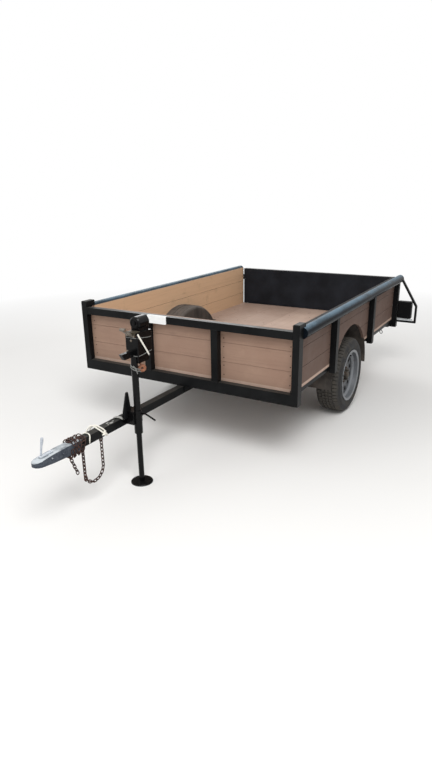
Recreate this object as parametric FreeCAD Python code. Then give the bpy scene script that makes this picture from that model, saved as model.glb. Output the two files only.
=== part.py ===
"""Single-axle utility trailer with a drop tailgate, standing on its tongue jack.

Frame: +X forward to the coupler, +Y the trailer's left side, +Z up, origin on the ground under
the middle of the whole trailer. Sizes are in millimetres. Each function makes one sub-part.
"""
import FreeCAD
import Part
import math
import os

from FreeCAD import Vector

# Cargo box, outer sizes over the posts
BOX_LENGTH = 2460.0
BOX_WIDTH = 1737.0
FRAME_BOTTOM = 428.0          # underside of the frame above the ground
FRAME_DEPTH = 74.0            # height of the frame's tubes
FLOOR_THICKNESS = 20.0
WALL_TOP = 902.0              # top of the front rail
RAIL_HEIGHT = 50.0            # front rail
RAIL_DEPTH = 45.0             # front rail, front posts and end sills, along the trailer
SILL_WIDTH = 50.0             # side sills
SIDE_SILL_DEPTH = 30.0        # side sills and outriggers, flush with the frame's top
TUBE_WALL = 4.0

# Posts, planks and top pipes
POST_WIDTH = 50.0
POST_DEPTH = 45.0             # across the trailer
CORNER_LENGTH = 60.0          # front corner posts, along the trailer
CAP_LENGTH = 95.0             # capped heads of the front corner posts, along the trailer
CAP_HEIGHT = 44.0             # their heads stand above the front rail
CAP_DROP = 12.0               # and reach below its top
CAP_BEVEL = 4.0
POST_DROP = 47.0              # the wall posts reach below the boards that they hold
FRONT_POST_Y = 274.5          # centre of the two posts in the front wall
PLANK_THICKNESS = 20.0
PLANK_JOINTS = (637.0, 767.0) # heights of the joints between the wall planks
PLANK_GAP = 2.0
BOARD_TOP = 908.0             # top of the side boards
FLOOR_END = 5.0               # floor boards end ahead of the rear face
PIPE_DIAMETER = 73.0
PIPE_HEIGHT = 886.0           # axis of the top pipes
PIPE_WALL = 3.5
PIPE_PLUG = 4.0               # closed front end of the pipe
FLOOR_SEAMS = (-692.0, -406.0, -120.0, 166.0, 452.0)

# Undercarriage
AXLE_BACK = 1163.0            # axle behind the front face
AXLE_HEIGHT = 297.0
AXLE_DIAMETER = 50.0
RAIL_Y = 600.0                # centre of each main rail
RAIL_WIDTH = 60.0
CROSS_WIDTH = 50.0
SPRING_SPAN = 640.0           # between the eyes
SPRING_WIDTH = 45.0
LEAF_THICKNESS = 7.0
LEAF_LENGTHS = (560.0, 430.0, 290.0)
EYE_HEIGHT = 388.0
EYE_RADIUS = 14.0
HANGER_THICKNESS = 6.0
BOLT_DIAMETER = 12.0

# Wheels
TYRE_RADIUS = 297.0
TYRE_WIDTH = 196.0
TYRE_SIDES = 96               # flats round the tyre, which keep its mesh small
# Tyre section: distance in from the tread, and in from the widest plane, from the tread to the bead
TYRE_SECTION = ((0.0, 36.0), (14.0, 10.0), (52.0, 0.0))
TYRE_BEAD_INSET = 18.0
RIM_LEDGE = 15.0              # bead seat below the flange
TYRE_FIT = 0.5                # between the tyre and the bead seat
WHEEL_Y = 745.0               # middle plane of each wheel
RIM_RADIUS = 205.0            # over the flange
RIM_WIDTH = 186.0
RIM_WALL = 5.0
DISC_RECESS = 52.0            # disc face inside the outer flange
DISC_THICKNESS = 6.0
HUB_RADIUS = 62.0
HUB_BORE_CLEARANCE = 0.3
SPINDLE_RADIUS = 17.0
STUD_CIRCLE = 57.0
VENT_COUNT = 12
VENT_RADIUS = 15.0
VENT_CIRCLE = 133.0
CAP_RADIUS = 27.0
WELL_RADIUS = 420.0           # outside of the wheel box and mudguard
ARCH_OVERLAP = 14.0           # the side boards reach in over the wheel box's edge
WELL_INNER_Y = 631.0
WELL_SHOULDER = 32.0
WELL_SKIN = 3.0
WELL_LIP = 22.0
WELL_GAP = 5.0                # side sills end short of the mudguard
BEAD_Y = 745.0                # pressed bead round the wheel box
BEAD_WIDTH = 14.0
BEAD_RISE = 3.0
POST_TO_AXLE = 435.0          # the wall posts stand this far ahead of and behind the axle

# Tailgate
GATE_THICKNESS = 40.0
GATE_SIDE_GAP = 30.0
GATE_FLOOR_GAP = 6.0
GATE_TOP = 900.0
GATE_FLANGE = 40.0            # width of the angle-iron frame's flange
GATE_ANGLE = 4.0              # thickness of the angle iron
GATE_UPRIGHT = 30.0
GATE_SKIN = 3.0
HINGE_BACK = 13.0             # hinge axis behind the rear face
HINGE_HEIGHT = 488.0
HINGE_PIN_RADIUS = 7.0
HINGE_KNUCKLE_RADIUS = 12.0
HINGE_KNUCKLE = 60.0
HINGE_CLEARANCE = 0.4
HINGE_Y = (-560.0, 0.0, 560.0)
HINGE_LEAF = 6.0
CATCH_HEIGHT = 800.0
CATCH_PIN_RADIUS = 7.0
CATCH_PIN_END = 20.0          # the pin ends inside the post's outer face
CATCH_INSET = 40.0            # catch plate inside the post's outer face
CATCH_PLATE = 8.0
CATCH_REACH = 29.0
CATCH_HALF = 26.0             # half height of a catch plate
CATCH_LUG_HALF = 18.0         # half height of a pin's lug
CATCH_LUG_SHORT = 6.0         # the lug is this much shorter than the catch
CATCH_PLAY = 4.0              # round the pin in its slot

# Tail lamps in their guards
GUARD_REACH = 176.0           # outboard of the posts
GUARD_START = 20.0            # sloping bar starts inside the pipe, outboard of its axis
GUARD_RISE = 24.0             # and above its axis
GUARD_BAR = 17.0
GUARD_DEPTH = 30.0
GUARD_KNEE_RISE = 121.0       # the sloping bar turns down this far above the lamp's base
GUARD_DROP = 42.0             # bottom of the guard below the lamp's base
LAMP_WIDTH = 124.0
LAMP_HEIGHT = 158.0
LAMP_DEPTH = 58.0
LAMP_OVERHANG = 30.0          # lens behind the rear face
LAMP_BASE = 520.0
LAMP_GAP = 4.0                # between the lamp and the rear post
LAMP_ROUND = 6.0
LENS_DEPTH = 14.0
LENS_INSET = 3.0
LENS_ROUND = 5.0
WINDOW_DROP = 24.0            # underside of the clear strip below the lamp's base
WINDOW_HEIGHT = 19.0
WINDOW_WIDTH = 140.0
WINDOW_SHIFT = 8.0            # middle of the strip outboard of the lamp's middle
WINDOW_DEPTH = 12.0
BRACKET_INSET = 20.0
BRACKET_DEPTH = 15.0

# Tongue and coupler
TONGUE_SIZE = 50.0
TONGUE_BACK = 1000.0          # rear end, behind the front face
COUPLER_START = 1000.0        # ahead of the front face
COUPLER_REACH = 1320.0
COUPLER_SLEEVE = 120.0        # length of the coupler over the tongue
COUPLER_WIDTH = 66.0
COUPLER_HEIGHT = 58.0
COUPLER_WALL = 4.0
BALL_DIAMETER = 50.0
BALL_CLEARANCE = 1.0
SADDLE_PLATE = 8.0
LATCH_HEIGHT = 95.0
LATCH_FOOT = 20.0
LATCH_LENGTH = 48.0
LATCH_WIDTH = 20.0
LATCH_HOLE_RADIUS = 4.5

# Jack
JACK_AHEAD = 600.0
JACK_Y = 100.0
JACK_PIVOT = 432.0            # height of the swivel
JACK_TUBE_RADIUS = 20.0
JACK_SLEEVE_RADIUS = 25.0
JACK_SLEEVE_TOP = 478.0
JACK_TUBE_WALL = 3.0
JACK_TUBE_BOTTOM = 332.0
JACK_LEG_TOP = 505.0
JACK_LEG_CLEARANCE = 0.4
JACK_FOOT_RADIUS = 68.0
JACK_FOOT_THICKNESS = 8.0
JACK_PLATE = 8.0
JACK_PLATE_RADIUS = 55.0
JACK_WEB = 84.0               # bracket block between the plate and the tube
JACK_HEAD_TOP = 1035.0
JACK_HEAD_HEIGHT = 223.0      # from the tube's top to the head's top
JACK_BOX_HEIGHT = 138.0
JACK_HEAD_WIDTH = 88.0
JACK_HEAD_LENGTH = 132.0
JACK_HEAD_BACK = 52.0         # head centre behind the tube's axis
JACK_HEAD_ROUND = 5.0
JACK_WEDGE_DEPTH = 42.0       # wedge below the head, behind the tube
JACK_WEDGE_INSET = 12.0       # its outer side inside the head's
JACK_WEDGE_SLANT = 18.0
JACK_DRUM_RADIUS = 38.0
JACK_DRUM_SETBACK = 36.0      # drum behind the head's front face
JACK_DRUM_BEVEL = 7.0
JACK_NECK_WIDTH = 56.0
JACK_LUG_LENGTH = 104.0       # lug ahead of the head's front face
JACK_LUG_HEIGHT = 36.0
JACK_LUG_SLANT = 24.0
JACK_LUG_WIDTH = 22.0
CRANK_REACH = 68.0            # ahead of the head's front face
CRANK_RISE = 48.0
CRANK_THICKNESS = 14.0
CRANK_WIDTH = 26.0
CRANK_KNOB_HALF = 17.0
CRANK_KNOB_RADIUS = 9.0
SWIVEL_GAP = 0.4
CLAMP_GAP = 1.0               # clamp plate above the curved leaves

# Safety chains: bar, inside length and width of a link, and play between links
CHAIN_BAR = 6.0
CHAIN_LENGTH = 24.0
CHAIN_WIDTH = 11.0
CHAIN_PLAY = 0.9
LUG_WIDTH = 26.0
LUG_THICKNESS = 6.0
LUG_DROP = 30.0               # below the tongue
LUG_HOLE = 6.5
LUG_PLAY = 1.2                # between a link and the bottom of its hole
# Each lug: distance ahead of the front face, and y
CHAIN_LUGS = ((985.0, 12.0), (835.0, 12.0), (960.0, -14.0), (1075.0, 0.0))
LOOP_BOTTOM = 207.4           # height where the hanging loop starts to turn

# Places worked out from the sizes above
REAR_REACH = BOX_LENGTH + LAMP_OVERHANG
FRONT_X = (REAR_REACH - COUPLER_REACH) / 2.0
REAR_X = FRONT_X - BOX_LENGTH
AXLE_X = FRONT_X - AXLE_BACK
JACK_X = FRONT_X + JACK_AHEAD
HALF_WIDTH = BOX_WIDTH / 2.0
POST_INNER = HALF_WIDTH - POST_DEPTH
PANEL_INNER = POST_INNER - PLANK_THICKNESS
FRAME_TOP = FRAME_BOTTOM + FRAME_DEPTH
SIDE_SILL_BOTTOM = FRAME_TOP - SIDE_SILL_DEPTH
FLOOR_TOP = FRAME_TOP + FLOOR_THICKNESS
ARCH_RADIUS = WELL_RADIUS - ARCH_OVERLAP
BEAD_SEAT = RIM_RADIUS - RIM_LEDGE
GUARD_TOP = PIPE_HEIGHT + GUARD_RISE
GUARD_KNEE = LAMP_BASE + GUARD_KNEE_RISE
GUARD_BOTTOM = LAMP_BASE - GUARD_DROP
WINDOW_BASE = LAMP_BASE - WINDOW_DROP
BEAM_END = FRONT_X + COUPLER_START + COUPLER_SLEEVE
JACK_TUBE_TOP = JACK_HEAD_TOP - JACK_HEAD_HEIGHT
PIPE_RADIUS = PIPE_DIAMETER / 2.0
PIPE_Y = POST_INNER + PIPE_RADIUS
PIPE_Z = PIPE_HEIGHT
PLANK_TOP = WALL_TOP - 2.0
PLANK_FACE_X = FRONT_X - RAIL_DEPTH
CLAD_X = PLANK_FACE_X - PLANK_THICKNESS - PLANK_GAP
SIDES = (("left", 1), ("right", -1))
X_AXIS, Y_AXIS, Z_AXIS = Vector(1, 0, 0), Vector(0, 1, 0), Vector(0, 0, 1)


def block(x0, x1, y0, y1, z0, z1):
    """Box between two opposite corners, given in any order."""
    low = Vector(min(x0, x1), min(y0, y1), min(z0, z1))
    return Part.makeBox(abs(x1 - x0), abs(y1 - y0), abs(z1 - z0), low)


def rod(x, y, z, radius, length, axis):
    """Round bar from a point along an axis."""
    return Part.makeCylinder(radius, length, Vector(x, y, z), axis)


def rod_y(x, y0, y1, z, radius):
    """Round bar across the trailer between two y values."""
    return rod(x, min(y0, y1), z, radius, abs(y1 - y0), Y_AXIS)


def tube_x(x0, x1, y, z0, width, depth, wall):
    """Open rectangular tube along the trailer, centred on y with its underside at z0."""
    outer = block(x0, x1, y - width / 2, y + width / 2, z0, z0 + depth)
    inner = block(x0, x1, y - width / 2 + wall, y + width / 2 - wall, z0 + wall, z0 + depth - wall)
    return outer.cut(inner)


def tube_y(y0, y1, x, z0, width, depth, wall):
    """Open rectangular tube across the trailer, centred on x with its underside at z0."""
    outer = block(x - width / 2, x + width / 2, y0, y1, z0, z0 + depth)
    inner = block(x - width / 2 + wall, x + width / 2 - wall, y0, y1, z0 + wall, z0 + depth - wall)
    return outer.cut(inner)


def mirrored(shape):
    """The same shape on the other side of the trailer."""
    return shape.mirror(Vector(0, 0, 0), Y_AXIS)


def on_side(shape, side):
    """A shape drawn for the left side, put on the side given by +1 or -1."""
    return shape if side > 0 else mirrored(shape)


def polygon(points):
    """Closed flat face through the points."""
    return Part.Face(Part.makePolygon([Vector(*p) for p in points + points[:1]]))


def revolved_y(profile, x, z):
    """Solid turned about the line along Y through (x, z), from (radius, y) points."""
    face = polygon([(x, y, z + radius) for radius, y in profile])
    return face.revolve(Vector(x, 0, z), Y_AXIS, 360)


def fused(shapes):
    """One solid from overlapping or touching shapes."""
    first = shapes[0]
    return first.multiFuse(shapes[1:]).removeSplitter() if len(shapes) > 1 else first


def write(node, *shapes):
    """Export one node as a STEP file of its solids."""
    solids = [solid for shape in shapes for solid in shape.Solids]
    shape = solids[0] if len(solids) == 1 else Part.makeCompound(solids)
    if not shape.isValid() or not solids:
        raise ValueError(f"{node} is not a valid shape")
    shape.exportStep(f"parts/{node}.step")
    box = shape.BoundBox
    print(f"{node:24s} {len(solids):3d} solids  x {box.XMin:8.1f} {box.XMax:8.1f}  "
          f"y {box.YMin:8.1f} {box.YMax:8.1f}  z {box.ZMin:7.1f} {box.ZMax:7.1f}  "
          f"{shape.Volume / 1e6:8.3f} l")


def wheel_opening(radius, y0, y1):
    """Cylinder about the left wheel's axis, used as a cutter."""
    return rod_y(AXLE_X, y0, y1, AXLE_HEIGHT, radius)


def main_rails():
    """Two long rails under the floor, open at their ends."""
    rear = REAR_X + RAIL_DEPTH
    return [tube_x(rear, FRONT_X - RAIL_DEPTH, side * RAIL_Y, FRAME_BOTTOM, RAIL_WIDTH,
                   FRAME_DEPTH, TUBE_WALL) for _, side in SIDES]


def end_sill(face_x, inward):
    """Channel across one end of the frame, open to the middle of the trailer."""
    back = face_x + inward * RAIL_DEPTH
    sill = block(face_x, back, -POST_INNER, POST_INNER, FRAME_BOTTOM, FRAME_TOP)
    return sill.cut(block(face_x + inward * TUBE_WALL, back, -POST_INNER, POST_INNER,
                          FRAME_BOTTOM + TUBE_WALL, FRAME_TOP - TUBE_WALL))


def well_half_length(radius, z):
    """Half the length of a wheel-centred circle at a height."""
    return math.sqrt(radius ** 2 - (z - AXLE_HEIGHT) ** 2)


def side_sill():
    """Left side sill, in two lengths that stop at the mudguard."""
    half_gap = WELL_RADIUS + WELL_GAP
    spans = ((REAR_X + RAIL_DEPTH, AXLE_X - half_gap), (AXLE_X + half_gap, FRONT_X - RAIL_DEPTH))
    y = POST_INNER - SILL_WIDTH / 2
    return [tube_x(x0, x1, y, SIDE_SILL_BOTTOM, SILL_WIDTH, SIDE_SILL_DEPTH, TUBE_WALL)
            for x0, x1 in spans]


def cross_places():
    """Middle of each cross member, from front to rear."""
    post_offset = POST_TO_AXLE + POST_WIDTH / 2
    return [FRONT_X - (AXLE_BACK - post_offset) / 2, AXLE_X + post_offset, AXLE_X,
            AXLE_X - post_offset, AXLE_X - post_offset - (BOX_LENGTH - AXLE_BACK - post_offset) / 2]


def cross_members():
    """Cross members between the main rails."""
    half = RAIL_Y - RAIL_WIDTH / 2
    return [tube_y(-half, half, x, FRAME_BOTTOM, CROSS_WIDTH, FRAME_DEPTH, TUBE_WALL)
            for x in cross_places()]


def outriggers():
    """Short arms from the main rails to the side sills."""
    inner, outer = RAIL_Y + RAIL_WIDTH / 2, POST_INNER - SILL_WIDTH
    arms = []
    for x in cross_places():
        if x == AXLE_X:
            continue
        for _, side in SIDES:
            arms.append(tube_y(side * inner, side * outer, x, SIDE_SILL_BOTTOM, CROSS_WIDTH,
                               SIDE_SILL_DEPTH, TUBE_WALL))
    return arms


def floor_boards():
    """Floor boards that run the length of the box, cut across where they meet a wheel box."""
    well = well_half_length(WELL_RADIUS, FRAME_TOP) + 1
    edge = POST_INNER
    seams = (-edge - PLANK_GAP / 2,) + FLOOR_SEAMS + (edge + PLANK_GAP / 2,)
    boards = [block(PLANK_FACE_X, PLANK_FACE_X - PLANK_THICKNESS, -edge, edge, FRAME_TOP, FLOOR_TOP)]
    gap = PLANK_GAP / 2
    for low, high in zip(seams, seams[1:]):
        y0, y1 = low + gap, high - gap
        if max(abs(y0), abs(y1)) < WELL_INNER_Y:
            boards.append(block(REAR_X + FLOOR_END, CLAD_X, y0, y1, FRAME_TOP, FLOOR_TOP))
            continue
        boards.append(block(REAR_X + FLOOR_END, AXLE_X - well, y0, y1, FRAME_TOP, FLOOR_TOP))
        boards.append(block(AXLE_X + well, CLAD_X, y0, y1, FRAME_TOP, FLOOR_TOP))
        m0, m1 = max(y0, 1 - WELL_INNER_Y), min(y1, WELL_INNER_Y - 1)
        if m1 > m0:
            boards.append(block(AXLE_X - well + PLANK_GAP, AXLE_X + well - PLANK_GAP, m0, m1,
                                FRAME_TOP, FLOOR_TOP))
    return boards


def plank_spans(top):
    """Bottom and top of each wall plank, up to the wall's top."""
    edges = (FLOOR_TOP - PLANK_GAP / 2,) + PLANK_JOINTS + (top + PLANK_GAP / 2,)
    return [(z0 + PLANK_GAP / 2, z1 - PLANK_GAP / 2) for z0, z1 in zip(edges, edges[1:])]


def front_planks():
    """Planks of the front wall, behind its posts and rail."""
    return [block(PLANK_FACE_X, PLANK_FACE_X - PLANK_THICKNESS, -POST_INNER, POST_INNER, z0, z1)
            for z0, z1 in plank_spans(PLANK_TOP)]


def side_boards():
    """Left wall boards, with the round cut-out over the wheel."""
    x0 = REAR_X + POST_WIDTH
    cutter = wheel_opening(ARCH_RADIUS, PANEL_INNER - 1, POST_INNER + 1)
    boards = []
    for z0, z1 in plank_spans(BOARD_TOP):
        boards += block(x0, CLAD_X, PANEL_INNER, POST_INNER, z0, z1).cut(cutter).Solids
    return boards


def front_rail():
    """Rectangular tube along the top of the front wall."""
    return tube_y(-POST_INNER, POST_INNER, FRONT_X - RAIL_DEPTH / 2, WALL_TOP - RAIL_HEIGHT,
                  RAIL_DEPTH, RAIL_HEIGHT, TUBE_WALL)


def hollow(x0, x1, y0, y1, z0, z1):
    """Inside of an upright square tube, from z0 to z1."""
    return block(x0 + TUBE_WALL, x1 - TUBE_WALL, y0 + TUBE_WALL, y1 - TUBE_WALL, z0, z1)


def front_posts():
    """Two posts between the front sill and the front rail."""
    top = WALL_TOP - RAIL_HEIGHT
    posts = []
    for _, side in SIDES:
        y0, y1 = side * FRONT_POST_Y - POST_WIDTH / 2, side * FRONT_POST_Y + POST_WIDTH / 2
        post = block(PLANK_FACE_X, FRONT_X, y0, y1, FRAME_TOP, top)
        posts.append(post.cut(hollow(PLANK_FACE_X, FRONT_X, y0, y1, FRAME_TOP, top)))
    return posts


def front_corner_posts():
    """Corner posts at the front, each with a longer capped head that saddles the pipe's end."""
    x0 = FRONT_X - CORNER_LENGTH
    post = block(x0, FRONT_X, POST_INNER, HALF_WIDTH, FRAME_BOTTOM, WALL_TOP)
    head = block(FRONT_X - CAP_LENGTH, FRONT_X, POST_INNER, HALF_WIDTH, WALL_TOP - CAP_DROP,
                 WALL_TOP + CAP_HEIGHT)
    head = head.makeChamfer(CAP_BEVEL, [e for e in head.Edges if e.BoundBox.ZMin > WALL_TOP])
    bore = hollow(x0, FRONT_X, POST_INNER, HALF_WIDTH, FRAME_BOTTOM, WALL_TOP)
    pipe = rod(FRONT_X - CAP_LENGTH - 1, PIPE_Y, PIPE_Z, PIPE_RADIUS, CAP_LENGTH - CORNER_LENGTH + 1,
               X_AXIS)
    post = fused([post, head]).cut(bore).cut(pipe)
    return [post, mirrored(post)]


def wall_post(x0, x1, bottom):
    """Left wall post whose top is cut to sit under the pipe."""
    top = PIPE_Z - PIPE_RADIUS / 2
    post = block(x0, x1, POST_INNER, HALF_WIDTH, bottom, top)
    pipe = rod(x0 - 1, PIPE_Y, PIPE_Z, PIPE_RADIUS, x1 - x0 + 2, X_AXIS)
    inside = hollow(x0, x1, POST_INNER, HALF_WIDTH, bottom, top)
    return post.cut(inside).cut(pipe)


def side_posts():
    """The two left wall posts beside the wheel."""
    bottom = FRAME_TOP - POST_DROP
    offset = POST_TO_AXLE + POST_WIDTH
    return [wall_post(AXLE_X + POST_TO_AXLE, AXLE_X + offset, bottom),
            wall_post(AXLE_X - offset, AXLE_X - POST_TO_AXLE, bottom)]


def rear_corner_posts():
    """Corner posts at the tailgate."""
    post = wall_post(REAR_X, REAR_X + POST_WIDTH, FRAME_BOTTOM)
    return [post, mirrored(post)]


def side_pipe():
    """Round top pipe of the left wall, closed at the front."""
    length = BOX_LENGTH - CORNER_LENGTH
    pipe = rod(REAR_X, PIPE_Y, PIPE_Z, PIPE_RADIUS, length, X_AXIS)
    bore = rod(REAR_X, PIPE_Y, PIPE_Z, PIPE_RADIUS - PIPE_WALL, length - PIPE_PLUG, X_AXIS)
    return pipe.cut(bore)


def wheel_well():
    """Left wheel box and mudguard in one pressing.

    Above the floor it is a drum with a rounded shoulder, a bead and a floor lip. Below the floor
    it goes on as a band round the tyre, down to the axle's height.
    """
    def drum(radius, inner_y, shoulder):
        solid = rod_y(AXLE_X, inner_y, PANEL_INNER, AXLE_HEIGHT, radius)
        edges = [e for e in solid.Edges
                 if abs(e.BoundBox.YMin - inner_y) < 0.1 and abs(e.BoundBox.YMax - inner_y) < 0.1]
        return solid.makeFillet(shoulder, edges)

    def zone(y0, y1, z0, z1):
        return block(AXLE_X - 2 * WELL_RADIUS, AXLE_X + 2 * WELL_RADIUS, y0, y1, z0, z1)

    outer = drum(WELL_RADIUS, WELL_INNER_Y, WELL_SHOULDER)
    inner = drum(WELL_RADIUS - WELL_SKIN, WELL_INNER_Y + WELL_SKIN, WELL_SHOULDER - WELL_SKIN)
    drum_top = AXLE_HEIGHT + 2 * WELL_RADIUS
    shell = outer.cut(inner).common(zone(0, HALF_WIDTH, FRAME_TOP, drum_top))
    band = wheel_opening(WELL_RADIUS, WELL_INNER_Y, POST_INNER).cut(
        wheel_opening(WELL_RADIUS - WELL_SKIN, WELL_INNER_Y, POST_INNER))
    band = band.common(zone(0, HALF_WIDTH, AXLE_HEIGHT, FLOOR_TOP))
    bead = wheel_opening(WELL_RADIUS + BEAD_RISE, BEAD_Y - BEAD_WIDTH / 2, BEAD_Y + BEAD_WIDTH / 2)
    bead = bead.common(zone(0, HALF_WIDTH, FLOOR_TOP + WELL_SKIN, drum_top))
    reach = well_half_length(WELL_RADIUS, FLOOR_TOP) + WELL_LIP
    lip = block(AXLE_X - reach, AXLE_X + reach, WELL_INNER_Y, PANEL_INNER, FLOOR_TOP,
                FLOOR_TOP + WELL_SKIN)
    return fused([shell, band, bead.cut(outer), lip.cut(outer)])


def leaf_spring():
    """Left leaf spring: stacked leaves over the axle with rolled eyes at both ends."""
    y0, y1 = RAIL_Y - SPRING_WIDTH / 2, RAIL_Y + SPRING_WIDTH / 2
    pack_bottom = AXLE_HEIGHT + AXLE_DIAMETER / 2 + HANGER_THICKNESS
    sag = EYE_HEIGHT - pack_bottom - LEAF_THICKNESS * (len(LEAF_LENGTHS) + 0.5)
    half = SPRING_SPAN / 2
    radius = (half ** 2 + sag ** 2) / (2 * sag)
    top_z = pack_bottom + LEAF_THICKNESS * (len(LEAF_LENGTHS) + 1)
    leaves = []
    lengths = (SPRING_SPAN,) + LEAF_LENGTHS
    centre_z = top_z - LEAF_THICKNESS + radius
    for index, length in enumerate(lengths):
        inner = radius + LEAF_THICKNESS * (index - 1)
        ring = rod_y(AXLE_X, y0, y1, centre_z, inner + LEAF_THICKNESS).cut(
            rod_y(AXLE_X, y0, y1, centre_z, inner))
        keep = block(AXLE_X - length / 2, AXLE_X + length / 2, y0, y1, pack_bottom - 5,
                     centre_z)
        leaves.append(ring.common(keep))
    eyes = [rod_y(AXLE_X + end * half, y0, y1, EYE_HEIGHT, EYE_RADIUS) for end in (-1, 1)]
    body = fused(leaves + eyes)
    for end in (-1, 1):
        body = body.cut(rod_y(AXLE_X + end * half, y0, y1, EYE_HEIGHT, BOLT_DIAMETER / 2))
    return body


def spring_hangers():
    """Hanger ears on the left rail, with the eye bolts."""
    solids = []
    for end in (-1, 1):
        x = AXLE_X + end * SPRING_SPAN / 2
        ears = []
        for direction in (-1, 1):
            y0 = RAIL_Y + direction * (SPRING_WIDTH / 2 + 0.3)
            y1 = y0 + direction * HANGER_THICKNESS
            ears.append(block(x - 22, x + 22, y0, y1, EYE_HEIGHT - 20, FRAME_BOTTOM))
        bolt_reach = SPRING_WIDTH / 2 + HANGER_THICKNESS + 10
        bolt = rod_y(x, RAIL_Y - bolt_reach, RAIL_Y + bolt_reach, EYE_HEIGHT, BOLT_DIAMETER / 2)
        solids.append(fused(ears + [bolt]))
    return solids


def axle_beam():
    """Axle tube with a spindle at each end."""
    tube_half = RAIL_Y + RAIL_WIDTH / 2
    spindle_end = WHEEL_Y + RIM_WIDTH / 2 - DISC_RECESS
    return fused([rod_y(AXLE_X, -tube_half, tube_half, AXLE_HEIGHT, AXLE_DIAMETER / 2),
                  rod_y(AXLE_X, -spindle_end, spindle_end, AXLE_HEIGHT, SPINDLE_RADIUS)])


def axle_clamps():
    """Spring seat, keeper plate and U-bolts that hold the axle under the left spring."""
    radius = AXLE_DIAMETER / 2
    bolt = 5.0
    half_length, half_width = radius + 18, SPRING_WIDTH / 2 + 12
    seat_top = AXLE_HEIGHT + radius + HANGER_THICKNESS
    pack_top = seat_top + LEAF_THICKNESS * (len(LEAF_LENGTHS) + 1)
    axle = rod_y(AXLE_X, RAIL_Y - 60, RAIL_Y + 60, AXLE_HEIGHT, radius + 0.1)
    seat = block(AXLE_X - half_length, AXLE_X + half_length, RAIL_Y - half_width,
                 RAIL_Y + half_width, AXLE_HEIGHT + radius * 0.6, seat_top).cut(axle)
    keeper = block(AXLE_X - half_length, AXLE_X + half_length, RAIL_Y - half_width,
                   RAIL_Y + half_width, AXLE_HEIGHT - radius - 8, AXLE_HEIGHT - radius)
    cap = block(AXLE_X - half_length, AXLE_X + half_length, RAIL_Y - half_width,
                RAIL_Y + half_width, pack_top + CLAMP_GAP, pack_top + CLAMP_GAP + HANGER_THICKNESS)
    legs = [rod(AXLE_X + dx * (radius + 8), RAIL_Y + dy * (SPRING_WIDTH / 2 + bolt + 0.4),
                AXLE_HEIGHT - radius - 18, bolt, pack_top + 2 * HANGER_THICKNESS
                - (AXLE_HEIGHT - radius - 18), Z_AXIS) for dx in (-1, 1) for dy in (-1, 1)]
    return fused([seat, keeper, cap] + legs)


def tyre():
    """Left tyre: a ring of flat-sided segments round the axle, standing on one of its flats."""
    half = TYRE_WIDTH / 2
    side = [(TYRE_RADIUS - drop, inset) for drop, inset in TYRE_SECTION]
    side.append((BEAD_SEAT + TYRE_FIT, TYRE_BEAD_INSET))
    section = [(radius, half - inset) for radius, inset in reversed(side)]
    section += [(radius, inset - half) for radius, inset in side]
    step = 2 * math.pi / TYRE_SIDES

    def corner(index, radius, y):
        """Corner of the ring, on the circle round flats that stand radius from the axle."""
        angle, reach = (index + 0.5) * step, radius / math.cos(step / 2)
        return (AXLE_X + reach * math.sin(angle), WHEEL_Y + y, AXLE_HEIGHT + reach * math.cos(angle))

    faces = []
    for index in range(TYRE_SIDES):
        for start, end in zip(section, section[1:] + section[:1]):
            faces.append(polygon([corner(index, *start), corner(index, *end),
                                  corner(index + 1, *end), corner(index + 1, *start)]))
    return Part.Solid(Part.makeShell(faces))


def rim():
    """Left steel rim with a recessed disc and round vents."""
    half = RIM_WIDTH / 2
    wall = RIM_WALL
    bead_seat = BEAD_SEAT
    outer = [(RIM_RADIUS, half), (bead_seat, half - 6), (bead_seat, half - 34),
             (bead_seat - 16, half - 48), (bead_seat - 16, -half + 60), (bead_seat, -half + 34),
             (bead_seat, -half + 6), (RIM_RADIUS, -half)]
    inner = [(radius - wall, y) for radius, y in outer]
    inner[0] = (RIM_RADIUS - 1, half + 2)
    inner[1] = (bead_seat - wall, half - 2)
    inner[-1] = (RIM_RADIUS - 1, -half - 2)
    inner[-2] = (bead_seat - wall, -half + 2)
    barrel = revolved_y([(r, WHEEL_Y + y) for r, y in outer + inner[::-1]], AXLE_X, AXLE_HEIGHT)
    face = half - DISC_RECESS
    back = face - DISC_THICKNESS
    edge = bead_seat - 16 - wall + 1
    disc_profile = [(HUB_RADIUS * 0.5, face - 10), (HUB_RADIUS + 10, face - 10),
                    (HUB_RADIUS + 28, face), (edge - 18, face), (edge, face - 20),
                    (edge, face - 20 - DISC_THICKNESS), (edge - 20, back), (HUB_RADIUS + 28, back),
                    (HUB_RADIUS + 8, back - 10), (HUB_RADIUS * 0.5, back - 10)]
    disc = revolved_y([(r, WHEEL_Y + y) for r, y in disc_profile], AXLE_X, AXLE_HEIGHT)
    for index in range(VENT_COUNT):
        angle = 2 * math.pi * (index + 0.5) / VENT_COUNT
        disc = disc.cut(rod_y(AXLE_X + VENT_CIRCLE * math.sin(angle), WHEEL_Y + back - 30,
                              WHEEL_Y + face + 10, AXLE_HEIGHT + VENT_CIRCLE * math.cos(angle),
                              VENT_RADIUS))
    return fused([barrel, disc])


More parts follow.
